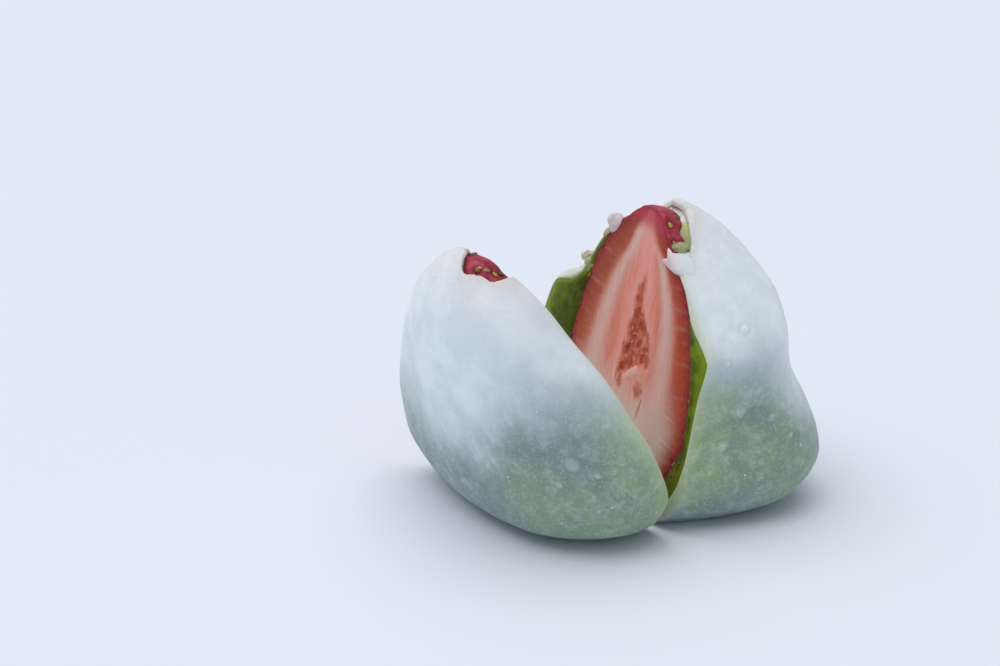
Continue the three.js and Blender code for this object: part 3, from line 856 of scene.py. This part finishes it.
def berry_face(half, places, across, up):
    """The cut face, from its front outline to its rear one, with its hollow core."""
    front, _ = berry_back(half, places, np.zeros_like(up), up)
    rear, _ = berry_back(half, places, np.ones_like(up), up)
    even = 2 * across - 1
    points = mixed(front, rear, (1 + np.sign(even) * np.abs(even) ** 0.9) / 2)
    height = points[:, 2]
    beside = points[:, 0] - half.berry.middle(height)
    share = beside / np.maximum(half.berry.half_width(height), 0.3)
    edge = outline_distance(half, places, points)

    def lumps(stretch, size, number, octaves=3):
        return cloud(points * stretch, size, half.seed + number, octaves)

    grain = lumps([1, 1, 0.6], 0.9, 15)
    threads = lumps([1, 1, 0.16], 0.45, 16)
    bend = [0, 0, 1] * (0.1 * np.abs(beside))[:, None]
    rays = cloud(points * [0.16, 1, 1] + bend, 0.5, half.seed + 18, 3)

    middle, half_hollow = read_table(HOLLOW, height), read_table(HOLLOW, height, 2)
    ragged = HOLLOW_RAGGED * lumps([1, 1, 0.6], HOLLOW_LUMPS, 13, 4)
    inside = half_hollow - np.abs(beside - middle) + ragged
    in_hollow = smooth_step(-0.4, 0.7, inside) * smooth_step(0, 0.3, half_hollow)
    in_hollow *= 1 - 0.6 * smooth_step(0.25, 0.6, lumps([1, 1, 0.4], 1.3, 19))
    for number, spot in enumerate(SPOTS):
        brown = patch(points, beside, spot, half.seed + 15 + number)
        in_hollow = np.maximum(in_hollow, 0.8 * brown)
    froth = patch(points, beside, FROTH, half.seed + 14)
    in_hollow *= 1 - froth

    at_rear, at_front, spread = (read_table(VESSELS, height, column) for column in (1, 2, 3))
    wander = 0.025 * lumps([1, 1, 0.3], 2.2, 17)
    vessel = np.where(share > 0, at_rear, at_front)
    from_vessel = (np.abs(share) - vessel + wander) / spread
    pale = np.exp(-(from_vessel**2)) * (0.92 + 0.25 * threads)
    pale *= np.where(share > 0, smooth_step(41.5, 38, height), smooth_step(38.5, 35, height))
    outer = smooth_step(0.3, 1.6, from_vessel)
    strip = np.exp(-(((np.abs(share) - 0.37) / 0.07) ** 2))
    strip *= smooth_step(14, 20, height) * smooth_step(38, 34, height)
    beyond = np.exp(-np.maximum(from_vessel - 0.8, 0) / 1.3)
    salmon = np.where(from_vessel < 0, strip, beyond)
    round_hollow = np.exp(-(((np.abs(beside - middle) - half_hollow - 0.8) / 0.8) ** 2))
    raggedness = np.clip(0.7 + threads + rays, 0, 1.4)

    relief = in_hollow * HOLLOW_DEPTH * (0.45 + 0.4 * grain) * smooth_step(-0.1, 1.2, inside)
    relief += THREAD_RISE * (rays * outer + threads * (1 - outer))
    relief -= VESSEL_RISE * pale + FROTH_RISE * froth * (0.6 + grain)
    relief += 0.4 * lip_drop(edge, FACE_LIP)
    points[:, 1] += np.maximum(relief, -0.15) * smooth_step(0, 0.15, edge)

    rind = np.exp(-((edge / (RIND_REACH * (1 + 0.6 * rays))) ** 1.8))
    deep_reach = np.where(share > 0, 1.6 + 1.5 * smooth_step(16, 27, height), 2.2)
    marks = {
        "back": 0.0,
        "dimple": 0.0,
        "edge": rind * (1 - 0.6 * smooth_step(37, 40, height)),
        "deep": np.exp(-((edge / deep_reach) ** 1.4)) * (0.85 + 0.3 * rays),
        "pale": np.clip(pale, 0, 1),
        "outer": outer,
        "salmon": salmon,
        "pink": round_hollow * smooth_step(14, 19, height),
        "ray": np.clip(seed_rays(half, places, points, beside, raggedness), 0, 1),
        "streak": 0.5 + 0.5 * np.where(outer > 0.5, rays, threads),
        "hollow": in_hollow,
        "froth": froth,
        "grain": 0.5 + 0.5 * grain,
        "foot": smooth_step(21, 11, height) * smooth_step(0.95, 0.6, np.abs(share)),
        "tip": smooth_step(38.6, 41.2, height),
        "ripe": smooth_step(0.3, 0.75, -share) * smooth_step(8, 16, height),
    }
    return points, marks


def make_berry(half, material):
    places = seed_places(half)
    shape = Shape(half, BERRY_MARKS)
    shape.sheet(BERRY_COLUMNS, BERRY_ROWS, berry_back, places)
    shape.sheet(FACE_COLUMNS, BERRY_ROWS, berry_face, places)
    shape.finish("strawberry", material, "berry")


# ---- torn flap, lumps and seeds -----------------------------------------------------------

# The flap that was torn from the skin's front edge and folded over the cut, by the share
# across it from its lower to its upper edge: heights at its root and tip, and how far it
# reaches over the face.
FLAP_ROOT = [[0, 35.6], [0.5, 36.8], [1, 38.2]]
FLAP_TIP = [[0, 36.5], [0.2, 36.9], [0.5, 37.5], [0.75, 38.1], [1, 38.8]]
FLAP_REACH = [[0, 5.4], [0.2, 4.7], [0.45, 3.0], [0.75, 2.2], [1, 1.7]]
# Its course by the share along it: place behind the cut, depth under the skin's surface, how far
# forward it is as a share of the reach, and its thickness.
FLAP_BEHIND = [[0, 3.4], [0.3, 1.5], [0.45, 0.3], [0.6, -0.5], [1, -0.5]]
FLAP_UNDER = [[0, 0.7], [0.3, 0.2], [0.45, 0.32], [0.6, 0.42], [1, 0]]
FLAP_FORWARD = [[0, 0], [0.3, 0], [0.45, 0.02], [0.6, 0.22], [1, 1]]
FLAP_THICKNESS = [[0, 0.1], [0.3, 0.45], [0.5, 0.75], [0.7, 0.9], [1, 0.85]]
FLAP_ACROSS = 50
FLAP_ALONG = 80
FLAP_STEP = 0.01  # the share across and along between the points that give a slope


def flap_middle(half, across, along):
    """The sheet in the middle of the flap's thickness."""
    root, tip = read_table(FLAP_ROOT, across), read_table(FLAP_TIP, across)
    forward = read_table(FLAP_FORWARD, along)
    v = read_table(FLAP_BEHIND, along)
    power = sum(half.body.boxiness) / 4
    angle = np.arcsin(np.clip(v / half.body.depth(root), 0, 1) ** power)
    surface = half.body.point(angle, root)
    under = read_table(FLAP_UNDER, along) + skin_relief(half, surface, 0)
    u = surface[..., 0] + under + read_table(FLAP_REACH, across) * forward
    z = root + (tip - root) * np.clip(forward, 0, 1) ** 0.8
    return np.stack([u, v, z], axis=-1)


def flap_side(half, side, across, along):
    """One side of the flap, 1 or -1, which meets the other at the flap's edges."""
    step = FLAP_STEP
    middle = flap_middle(half, across, along)
    width_way = flap_middle(half, across + step, along) - flap_middle(half, across - step, along)
    length_way = flap_middle(half, across, along + step) - flap_middle(half, across, along - step)
    normal = unit(np.cross(width_way, length_way))
    bluntness = 1.6 + 2.2 * smooth_step(0.3, 0.6, along)
    at_sides = np.clip(1 - np.abs(2 * across - 1) ** bluntness, 0, 1)
    round_off = np.sqrt(at_sides * np.clip(1 - along**9, 0, 1))
    uneven = 1 + 0.25 * cloud(middle, 2, half.seed + 21, 3)
    thickness = read_table(FLAP_THICKNESS, along) * uneven
    points = middle + normal * (side * 0.5 * thickness * round_off)[:, None]
    return points, {"lip": 0.5 * smooth_step(0.25, 0.6, along), "blush": smooth_step(0.3, 0.7, along)}


def make_flap(half, material):
    shape = Shape(half, SKIN_MARKS)
    for side in (-1, 1):
        shape.sheet(FLAP_ACROSS, FLAP_ALONG, flap_side, side)
    shape.finish("torn_flap", material)


# Lumps as [u, v, z, radii along u, v and z, turn in the cut's plane in degrees, and the values
# of two marks: for skin its blush and stain, for paste how pale it is and how much skin it holds].
SKIN_LUMPS = {
    "right": [
        [28.2, 0.2, 37.9, 1.9, 0.6, 1.25, -44, 1.0, 0],
        [28.9, 0.25, 38.1, 1.5, 0.55, 1.1, -20, 0.8, 0.1],
    ],
    "left": [],
}
PASTE_LUMPS = {
    "right": [
        [34.6, 0.4, 30.9, 1.0, 0.6, 0.65, 0, 1.0, 0.4],
        [33.7, 0.3, 31.4, 0.75, 0.6, 0.65, 0, 1.0, 0.4],
        [33.3, 0.4, 30.7, 1.0, 0.7, 0.8, 0, 1.0, 0.15],
        [32.6, 0.3, 30.0, 0.7, 0.6, 1.3, 25, 0.6, 0],
        [34.6, 0.2, 25.6, 1.4, 0.5, 0.75, -40, 0.3, 0],
        [29.9, 0.4, 35.9, 0.7, 0.6, 1.2, 42, 1.0, 0.1],
        [12.9, 1.4, 38.6, 1.0, 1.1, 0.7, 0, 0.6, 0.1],
        [13.6, 0.8, 38.4, 0.8, 0.7, 0.6, 0, 0.35, 0.1],
    ],
    "left": [
        [22.4, 2.3, 40.7, 0.9, 0.7, 0.36, 0, 0.85, 0],
        [21.6, 2.2, 40.5, 0.8, 0.6, 0.36, 0, 0.6, 0],
    ],
}


def add_lumps(shape, lumps, uneven, bump_size):
    """Torn lumps, uneven by a share in bumps of a share of their size."""
    for number, (u, v, z, along_u, along_v, along_z, turn, *shades) in enumerate(lumps):
        verts, ways = shape.ball(5, 1)
        swell = 1 + uneven * cloud(ways, bump_size, shape.half.seed + 3 * number, 2)
        local = ways * [along_u, along_v, along_z] * swell[:, None]
        turned = local @ np.array(Matrix.Rotation(math.radians(turn), 3, "Y"))
        shape.put(verts, turned + [u, v, z], dict(zip(shape.layers, shades)))


def make_skin_bits(half, material):
    """The torn flap and the lumps of skin, on the half that has them."""
    if SKIN_LUMPS[half.name]:
        make_flap(half, material)
        shape = Shape(half, ["blush", "stain"])
        add_lumps(shape, SKIN_LUMPS[half.name], 0.25, 1.5)
        shape.finish("skin_lumps", material)


def make_paste_lumps(half, material):
    shape = Shape(half, ["high", "veil"])
    add_lumps(shape, PASTE_LUMPS[half.name], 0.4, 1.1)
    shape.finish("paste_lumps", material)


SEED_LENGTH = 1.05
SEED_WIDTH = 0.68
SEED_FLATNESS = 0.75
SEED_PROUD = 0.12
ON_OUTLINE = 0.05  # radians from the cut within which a seed is on the outline
SEED_LEAST_ANGLE = 0.06  # radians from the cut at which such a seed sits on the berry
SEED_BEHIND = 0.15  # how far its place is behind the cut
BARE_BELOW_RIM = 2.2


def make_seeds(half, material):
    """The seeds that show: round the bare tip and along the outline of the cut face."""
    shape = Shape(half, ["tone"])
    berry = half.berry
    for angle, height, tone, size in seed_places(half):
        on_outline = angle < ON_OUTLINE or angle > math.pi - ON_OUTLINE
        bare = height > half.rim(angle) - BARE_BELOW_RIM
        if not (on_outline or bare):
            continue
        if on_outline:
            angle = min(max(angle, SEED_LEAST_ANGLE), math.pi - SEED_LEAST_ANGLE)
        place = berry.point(angle, height)
        if on_outline:
            place[1] = SEED_BEHIND
        outward = -berry.inward(np.array([angle]), np.array([height]))[0]
        above, below = height + TANGENT_STEP, height - TANGENT_STEP
        upward = unit(berry.point(angle, above) - berry.point(angle, below))
        sideways = np.cross(upward, outward)
        verts, ways = shape.ball(3, 0.5)
        width = (1 - 0.7 * ways[:, 2]) * SEED_WIDTH * size
        length = np.full(len(ways), SEED_LENGTH * size)
        local = ways * np.stack([width, SEED_FLATNESS * width, length], axis=-1)
        place = place + outward * (SEED_PROUD - DIMPLE_DEPTH / 2)
        shape.put(verts, place + local @ np.array([sideways, outward, upward]), {"tone": tone})
    shape.finish("seeds", material)


# ---- materials ----------------------------------------------------------------------------


def from_screen(red, green, blue):
    """A colour given as the screen shows it, from 0 to 255, in scene-linear light."""
    values = []
    for value in (red, green, blue):
        share = value / 255
        values.append(share / 12.92 if share <= 0.04045 else ((share + 0.055) / 1.055) ** 2.4)
    return tuple(values)


class Shader:
    """A material's nodes, made one at a time and joined from left to right."""

    def __init__(self, name):
        self.material = bpy.data.materials.new(name)
        self.material.use_nodes = True
        self.tree = self.material.node_tree
        self.tree.nodes.clear()
        self.coordinates = self.node("ShaderNodeTexCoord").outputs["Object"]

    def node(self, kind, settings=None, **inputs):
        made = self.tree.nodes.new(kind)
        for name, value in (settings or {}).items():
            setattr(made, name, value)
        for name, value in inputs.items():
            self.feed(made.inputs[name.replace("_", " ")], value)
        return made

    def feed(self, socket, value):
        if isinstance(value, bpy.types.NodeSocket):
            self.tree.links.new(value, socket)
        elif socket.type == "RGBA":
            socket.default_value = (*value, 1)
        else:
            socket.default_value = value

    def mark(self, name):
        return self.node("ShaderNodeAttribute", {"attribute_name": name}).outputs["Fac"]

    def placed(self, **mapping):
        made = self.node("ShaderNodeMapping", Vector=self.coordinates, **mapping)
        return made.outputs["Vector"]

    def noise(self, size, detail=3.0, roughness=0.55, stretch=(1, 1, 1)):
        """Noise in lumps about as large as size."""
        settings = {"Scale": 1 / size, "Detail": detail, "Roughness": roughness}
        made = self.node("ShaderNodeTexNoise", Vector=self.placed(Scale=stretch), **settings)
        return made.outputs["Fac"]

    def specks(self, size, reach, share, seed_shift):
        """Round specks, in a share of the cells of a net as wide as size."""
        vector = self.placed(Location=(seed_shift,) * 3)
        cells = self.node("ShaderNodeTexVoronoi", Vector=vector, Scale=1 / size)
        draw = self.node("ShaderNodeSeparateColor", Color=cells.outputs["Color"]).outputs["Red"]
        chosen = self.ramp(draw, share, share - 0.02)
        near = self.ramp(cells.outputs["Distance"], reach, reach * 0.4)
        return self.math("MULTIPLY", chosen, near)

    def ramp(self, value, low, high, start=0.0, end=1.0):
        made = self.node("ShaderNodeMapRange", {"interpolation_type": "SMOOTHSTEP"}, Value=value)
        for name, number in (("From Min", low), ("From Max", high), ("To Min", start), ("To Max", end)):
            made.inputs[name].default_value = number
        return made.outputs["Result"]

    def math(self, operation, a, b):
        made = self.node("ShaderNodeMath", {"operation": operation, "use_clamp": True})
        self.feed(made.inputs[0], a)
        self.feed(made.inputs[1], b)
        return made.outputs[0]

    def scaled(self, value, share):
        return value if share == 1 else self.math("MULTIPLY", value, share)

    def mix(self, share, a, b):
        made = self.node("ShaderNodeMix", {"data_type": "RGBA"})
        for place, value in ((0, share), (6, a), (7, b)):
            self.feed(made.inputs[place], value)
        return made.outputs[2]

    def tint(self, colour, mark, tone, strength=1.0):
        """The colour mixed with a tone where the mark is, by at most a strength."""
        return self.mix(self.scaled(self.mark(mark), strength), colour, tone)

    def bump(self, distance, *heights):
        """Bumps from the sum of heights, each given as a value and its share."""
        total, *rest = [self.scaled(value, share) for value, share in heights]
        for height in rest:
            total = self.math("ADD", total, height)
        made = self.node("ShaderNodeBump", Height=total, Distance=distance, Strength=1.0)
        return made.outputs["Normal"]

    def surface(self, colour, **inputs):
        shader = self.node("ShaderNodeBsdfPrincipled", Base_Color=colour, **inputs)
        output = self.node("ShaderNodeOutputMaterial")
        self.tree.links.new(shader.outputs["BSDF"], output.inputs["Surface"])
        return self.material


def skin_material(colours):
    s = Shader("starched_rice_skin")
    clouds = s.noise(6 * MM, 4.0, 0.5)
    mottle = s.noise(1.6 * MM, 5.0, 0.65)
    grain = s.noise(0.45 * MM, 4.0, 0.75)
    drawn = s.noise(0.9 * MM, 3.0, 0.6, (1, 1, 0.35))
    # bare: skin without starch where it is damp, also darker low down as painted shade, with clouds of bare
    # skin.
    bare = s.math("ADD", s.mark("damp"), s.ramp(clouds, 0.62, 0.38, 0.0, 0.15))
    colour = s.mix(bare, colours.starch, colours.damp_skin)
    green = s.math("MULTIPLY", s.mark("green"), s.ramp(s.noise(3 * MM), 0.3, 0.7, 0.5, 1.0))
    green = s.math("MULTIPLY", green, s.ramp(bare, 0.0, 1.0, 0.3, 0.85))
    colour = s.mix(green, colour, colours.green_skin)
    dust = s.ramp(mottle, 0.42, 0.72, 0.0, 0.3)
    dust = s.math("MULTIPLY", dust, s.ramp(clouds, 0.3, 0.65, 0.3, 1.0))
    colour = s.mix(dust, colour, colours.starch)
    colour = s.mix(s.ramp(grain, 0.5, 0.75, 0.0, 0.35), colour, colours.starch)
    specks = s.specks(2 * MM, 0.11, 0.3, 0.3)
    colour = s.mix(s.scaled(specks, 0.8), colour, colours.speck)
    colour = s.tint(colour, "lip", colours.lip, 0.45)
    colour = s.tint(colour, "stain", colours.stained_skin)
    colour = s.tint(colour, "blister", colours.starch, 0.25)
    colour = s.tint(colour, "blush", colours.blush)
    return s.surface(
        colour,
        Roughness=s.ramp(bare, 0.0, 1.0, 0.85, 0.5),
        Normal=s.bump(0.12 * MM, (grain, 0.35), (drawn, 0.35), (specks, 0.3)),
        Subsurface_Weight=0.3,
        Subsurface_Radius=(1.0, 1.0, 1.0),
        Subsurface_Scale=1.0 * MM,
        Specular_IOR_Level=0.35,
        Sheen_Weight=0.1,
        Sheen_Roughness=0.4,
    )


def paste_material(colours):
    s = Shader("green_bean_paste")
    lumps = s.noise(1.8 * MM, 4.0)
    grit = s.noise(0.3 * MM, 3.0, 0.7)
    # Darker where the lumps of the bump are low: painted shade in the hollows of the paste.
    colour = s.mix(s.ramp(lumps, 0.35, 0.65), colours.paste_dark_and_shade, colours.paste)
    colour = s.tint(colour, "smear", colours.paste_light, 0.65)
    crumbs = s.ramp(s.mark("crumb"), 0.5, 0.95, 0.0, 0.4)
    colour = s.mix(crumbs, colour, colours.paste_light)
    colour = s.tint(colour, "low", colours.paste_olive, 0.7)
    # Painted shade beside the berry, in the crevice between paste and berry.
    colour = s.tint(colour, "deep", colours.paste_dark_and_shade, 0.6)
    # Pale smears toward the torn rim; the fade lower down also keeps the paste below the tip darker, as
    # painted shade.
    colour = s.tint(colour, "high", colours.paste_pale, 0.85)
    colour = s.mix(s.ramp(grit, 0.58, 0.78, 0.0, 0.25), colour, colours.paste_light)
    colour = s.tint(colour, "veil", colours.veil, 0.9)
    return s.surface(
        colour,
        Roughness=s.ramp(lumps, 0.3, 0.7, 0.45, 0.65),
        Normal=s.bump(0.15 * MM, (lumps, 0.5), (grit, 0.4)),
        Subsurface_Weight=0.1,
        Subsurface_Radius=(0.8, 1.0, 0.4),
        Subsurface_Scale=0.5 * MM,
        Specular_IOR_Level=0.14,
    )


def berry_material(colours):
    s = Shader("strawberry")
    mottle = s.noise(1.6 * MM, 4.0)
    fine = s.noise(0.25 * MM, 3.0, 0.7)
    streak = s.ramp(s.mark("streak"), 0.25, 0.75)
    inner = s.mix(streak, colours.core, colours.core_light)
    inner = s.tint(inner, "pink", colours.core_pink, 0.7)
    inner = s.tint(inner, "salmon", colours.flesh_salmon, 0.45)
    outer = s.mix(streak, colours.flesh, colours.flesh_light)
    outer = s.tint(outer, "ripe", colours.flesh_ripe, 0.75)
    outer = s.tint(outer, "salmon", colours.flesh_salmon, 0.75)
    outer = s.tint(outer, "deep", colours.flesh_deep)
    colour = s.tint(inner, "outer", outer)
    colour = s.tint(colour, "foot", colours.foot, 0.9)
    colour = s.tint(colour, "pale", colours.vessel, 0.9)
    colour = s.tint(colour, "ray", colours.vessel, 0.45)
    colour = s.tint(colour, "tip", colours.tip, 0.85)
    hollow = s.mix(s.ramp(s.mark("grain"), 0.3, 0.75), colours.hollow, colours.hollow_light)
    pink_spots = s.ramp(s.noise(0.5 * MM, 3.0, 0.6), 0.52, 0.7, 0.0, 0.6)
    colour = s.tint(colour, "hollow", s.mix(pink_spots, hollow, colours.core_pink))
    froth = s.mix(s.ramp(fine, 0.35, 0.6), colours.core_pink, colours.froth)
    colour = s.tint(colour, "froth", froth)
    colour = s.mix(s.ramp(fine, 0.5, 0.75, 0.0, 0.12), colour, colours.froth)
    colour = s.tint(colour, "edge", colours.rind)
    rind = s.mix(s.ramp(mottle, 0.3, 0.7), colours.rind, colours.rind_light)
    # Darker rind in the seed dimples: painted shade in the recesses.
    colour = s.tint(colour, "back", s.tint(rind, "dimple", colours.rind_dimple_shade, 0.6))
    return s.surface(
        colour,
        Roughness=s.ramp(mottle, 0.3, 0.7, 0.3, 0.5),
        Normal=s.bump(0.08 * MM, (s.mark("streak"), 0.4), (fine, 0.4)),
        Subsurface_Weight=0.15,
        Subsurface_Radius=(1.0, 0.35, 0.25),
        Subsurface_Scale=0.6 * MM,
        Specular_IOR_Level=0.16,
    )


def seed_material(colours):
    s = Shader("berry_seeds")
    ridges = s.noise(0.25 * MM, 3.0, 0.6)
    colour = s.tint(colours.seed_dark, "tone", colours.seed)
    grooves = s.scaled(s.ramp(ridges, 0.45, 0.7), 0.4)
    colour = s.mix(grooves, colour, colours.seed_dark)
    bumps = s.bump(0.06 * MM, (ridges, 1))
    return s.surface(colour, Roughness=0.42, Normal=bumps, Specular_IOR_Level=0.5)


def floor_material(colours):
    return Shader("pale_floor").surface(colours.floor, Roughness=0.9, Specular_IOR_Level=0.2)


# ---- settings -----------------------------------------------------------------------------


class RiceCakeSizes(bpy.types.PropertyGroup):
    skin_thickness: bpy.props.FloatProperty(
        name="Skin thickness", description="Thickness of the rice skin where it has room",
        default=1.7 * MM, unit="LENGTH",
    )
    light_strength: bpy.props.FloatProperty(
        name="Key light", description="Strength of the soft light from behind and above",
        default=1.75, min=0,
    )


def colour_property(name, description, red, green, blue):
    return bpy.props.FloatVectorProperty(
        name=name, description=description, default=from_screen(red, green, blue),
        subtype="COLOR", min=0, max=1,
    )


class RiceCakeColours(bpy.types.PropertyGroup):
    starch: colour_property("Starch", "Starch dust on the skin", 237, 247, 253)
    speck: colour_property("Specks", "Grains of loose starch", 250, 252, 255)
    # Damp skin: the colour of damp skin low down, darkened further to stand in for the shade on the lower
    # parts, as painted shade.
    damp_skin: colour_property("Damp skin", "Skin that has taken up its starch", 127, 147, 147)
    green_skin: colour_property("Green skin", "Skin where the paste shines through", 156, 186, 118)
    lip: colour_property("Lip", "Torn and cut edges of the skin", 218, 216, 206)
    stained_skin: colour_property("Stained skin", "Edges of the skin that paste is smeared on", 190, 209, 148)
    blush: colour_property("Blush", "Thin skin that lies over the berry", 226, 210, 214)
    paste: colour_property("Paste", "Bean paste", 94, 110, 18)
    # Dark paste: painted shade in the hollows of the paste and in the crevice beside the berry.
    paste_dark_and_shade: colour_property("Dark paste", "Bean paste in its hollows", 66, 82, 8)
    paste_light: colour_property("Light paste", "Smeared and thin bean paste", 140, 168, 40)
    # Pale paste: thin smears by the torn rim, whose fade lower down also stands in for the shade below the
    # tip.
    paste_pale: colour_property("Pale paste", "Thin smears of paste by the torn rim", 190, 196, 136)
    veil: colour_property("Veil", "Film of skin over the paste behind the tip", 236, 234, 238)
    paste_olive: colour_property("Olive paste", "Bean paste near the base", 104, 98, 10)
    flesh: colour_property("Flesh", "Outer flesh of the berry", 182, 76, 30)
    flesh_light: colour_property("Light flesh", "Light streaks in the flesh", 194, 106, 70)
    flesh_salmon: colour_property("Salmon flesh", "Outer flesh beside the vessels", 206, 112, 76)
    flesh_ripe: colour_property("Ripe flesh", "Outer flesh on the berry's ripe side", 193, 54, 11)
    flesh_deep: colour_property("Deep flesh", "Flesh near the rind", 140, 34, 28)
    core: colour_property("Core", "Flesh of the core", 238, 150, 128)
    core_light: colour_property("Light core", "Light threads in the core", 242, 166, 150)
    core_pink: colour_property("Pink core", "Flesh round the hollow", 246, 176, 168)
    vessel: colour_property("Vessels", "Pale vessels between core and flesh", 228, 200, 190)
    foot: colour_property("Foot", "Unripe flesh at the berry's foot", 224, 222, 208)
    tip: colour_property("Tip", "Flesh at the berry's tip", 196, 66, 86)
    hollow: colour_property("Hollow", "Walls of the hollow core", 182, 80, 46)
    hollow_light: colour_property("Light hollow", "Grains on the walls of the hollow", 216, 128, 102)
    froth: colour_property("Froth", "Frothy threads in the core", 240, 206, 202)
    rind: colour_property("Rind", "Skin of the berry", 146, 36, 54)
    rind_light: colour_property("Light rind", "Light spots on the berry's skin", 188, 78, 98)
    # Dark rind: painted shade in the seed dimples.
    rind_dimple_shade: colour_property("Dark rind", "Dimples in the berry's skin", 98, 18, 28)
    seed: colour_property("Seed", "Ripe seeds", 200, 160, 60)
    seed_dark: colour_property("Dark seed", "Dried seeds", 96, 62, 30)
    floor: colour_property("Floor", "Floor under the rice cake", 232, 237, 247)


# ---- operators ----------------------------------------------------------------------------


def add_to_both(context, make, make_material):
    """Adds a kind of piece, of a new material, to both halves."""
    material = make_material(context.scene.rice_cake_colours)
    for spec in (RIGHT, LEFT):
        make(Half(spec, context.scene.rice_cake_sizes.skin_thickness), material)


class RICECAKE_OT_skins(bpy.types.Operator):
    """Add the starched rice skin of both halves"""

    bl_idname = "ricecake.add_skins"
    bl_label = "Add skins"

    def execute(self, context):
        add_to_both(context, make_skin, skin_material)
        return {"FINISHED"}


class RICECAKE_OT_torn_bits(bpy.types.Operator):
    """Add the torn flap over the cut, and the lumps of skin and paste round the rims"""

    bl_idname = "ricecake.add_torn_bits"
    bl_label = "Add torn bits"

    def execute(self, context):
        add_to_both(context, make_skin_bits, skin_material)
        add_to_both(context, make_paste_lumps, paste_material)
        return {"FINISHED"}


class RICECAKE_OT_seeds(bpy.types.Operator):
    """Add the seeds that show on the strawberry"""

    bl_idname = "ricecake.add_seeds"
    bl_label = "Add seeds"

    def execute(self, context):
        add_to_both(context, make_seeds, seed_material)
        return {"FINISHED"}


class RICECAKE_OT_pastes(bpy.types.Operator):
    """Add the bean paste of both halves"""

    bl_idname = "ricecake.add_pastes"
    bl_label = "Add bean paste"

    def execute(self, context):
        add_to_both(context, make_paste, paste_material)
        return {"FINISHED"}


class RICECAKE_OT_berries(bpy.types.Operator):
    """Add the halves of the strawberry"""

    bl_idname = "ricecake.add_berries"
    bl_label = "Add strawberry"

    def execute(self, context):
        add_to_both(context, make_berry, berry_material)
        return {"FINISHED"}


# The camera's place, the point it looks at, its focal length and its sensor's width, all in
# millimetres.
CAMERA_PLACE = (-386.5, -407.9, 248.3)
CAMERA_TARGET = (14.2, 37.0, 10.4)
CAMERA_LENS = 151.6
CAMERA_SENSOR = 36
CAMERA_CLIP = (0.01, 20)  # in metres
FLOOR_REACH = 6.0  # in metres, to each side
SKY_COLOUR = from_screen(236, 241, 250)
SKY_STRENGTH = 0.42

# Soft lights: name, where the light comes from, width in degrees, share of the key light's
# strength, colour.
LIGHTS = [
    ("key_light", (-0.1, 0.35, 1.5), 80, 1.0, (1.0, 1.0, 1.0)),
    ("side_light", (-1.0, -0.3, 1.0), 100, 0.15, (0.97, 0.98, 1.0)),
]


def add_floor(material):
    bm = bmesh.new()
    bmesh.ops.create_grid(bm, x_segments=1, y_segments=1, size=FLOOR_REACH)
    return add_piece("floor", bm, material)


def add_light(name, source, width, strength, colour):
    data = bpy.data.lights.new(name, "SUN")
    data.angle = math.radians(width)
    data.energy, data.color = strength, colour
    light = bpy.data.objects.new(name, data)
    light.location = Vector(source)
    light.rotation_euler = Vector(source).to_track_quat("Z", "Y").to_euler()
    bpy.context.scene.collection.objects.link(light)


def add_camera():
    data = bpy.data.cameras.new("camera")
    data.lens, data.sensor_width = CAMERA_LENS, CAMERA_SENSOR
    data.clip_start, data.clip_end = CAMERA_CLIP
    camera = bpy.data.objects.new("camera", data)
    camera.location = Vector(CAMERA_PLACE) * MM
    toward = Vector(CAMERA_TARGET) - Vector(CAMERA_PLACE)
    camera.rotation_euler = toward.to_track_quat("-Z", "Y").to_euler()
    bpy.context.scene.collection.objects.link(camera)
    bpy.context.scene.camera = camera


def set_sky():
    world = bpy.data.worlds.new("studio")
    bpy.context.scene.world = world
    world.use_nodes = True
    background = world.node_tree.nodes["Background"]
    background.inputs["Color"].default_value = (*SKY_COLOUR, 1)
    background.inputs["Strength"].default_value = SKY_STRENGTH


class RICECAKE_OT_stage(bpy.types.Operator):
    """Add the pale floor, the soft studio light and the camera"""

    bl_idname = "ricecake.add_stage"
    bl_label = "Add stage"

    def execute(self, context):
        context.scene.view_settings.view_transform = "Standard"
        add_floor(floor_material(context.scene.rice_cake_colours))
        strength = context.scene.rice_cake_sizes.light_strength
        for name, source, width, share, colour in LIGHTS:
            add_light(name, source, width, strength * share, colour)
        set_sky()
        add_camera()
        return {"FINISHED"}


class RICECAKE_PT_panel(bpy.types.Panel):
    """The rice cake's sizes, colours and pieces"""

    bl_idname = "RICECAKE_PT_panel"
    bl_label = "Cut strawberry rice cake"
    bl_space_type = "VIEW_3D"
    bl_region_type = "UI"
    bl_category = "Rice cake"

    def draw(self, context):
        for group in (context.scene.rice_cake_sizes, context.scene.rice_cake_colours):
            for name in group.__annotations__:
                self.layout.prop(group, name)
        for operator in OPERATORS:
            self.layout.operator(operator.bl_idname)


OPERATORS = [
    RICECAKE_OT_skins,
    RICECAKE_OT_pastes,
    RICECAKE_OT_berries,
    RICECAKE_OT_torn_bits,
    RICECAKE_OT_seeds,
    RICECAKE_OT_stage,
]
CLASSES = [RiceCakeSizes, RiceCakeColours, *OPERATORS, RICECAKE_PT_panel]


def register():
    for cls in CLASSES:
        bpy.utils.register_class(cls)
    bpy.types.Scene.rice_cake_sizes = bpy.props.PointerProperty(type=RiceCakeSizes)
    bpy.types.Scene.rice_cake_colours = bpy.props.PointerProperty(type=RiceCakeColours)


def unregister():
    del bpy.types.Scene.rice_cake_colours
    del bpy.types.Scene.rice_cake_sizes
    for cls in reversed(CLASSES):
        bpy.utils.unregister_class(cls)


def main():
    register()
    bpy.ops.ricecake.add_skins()
    bpy.ops.ricecake.add_pastes()
    bpy.ops.ricecake.add_berries()
    bpy.ops.ricecake.add_torn_bits()
    bpy.ops.ricecake.add_seeds()
    bpy.ops.ricecake.add_stage()


if __name__ == "__main__":
    main()
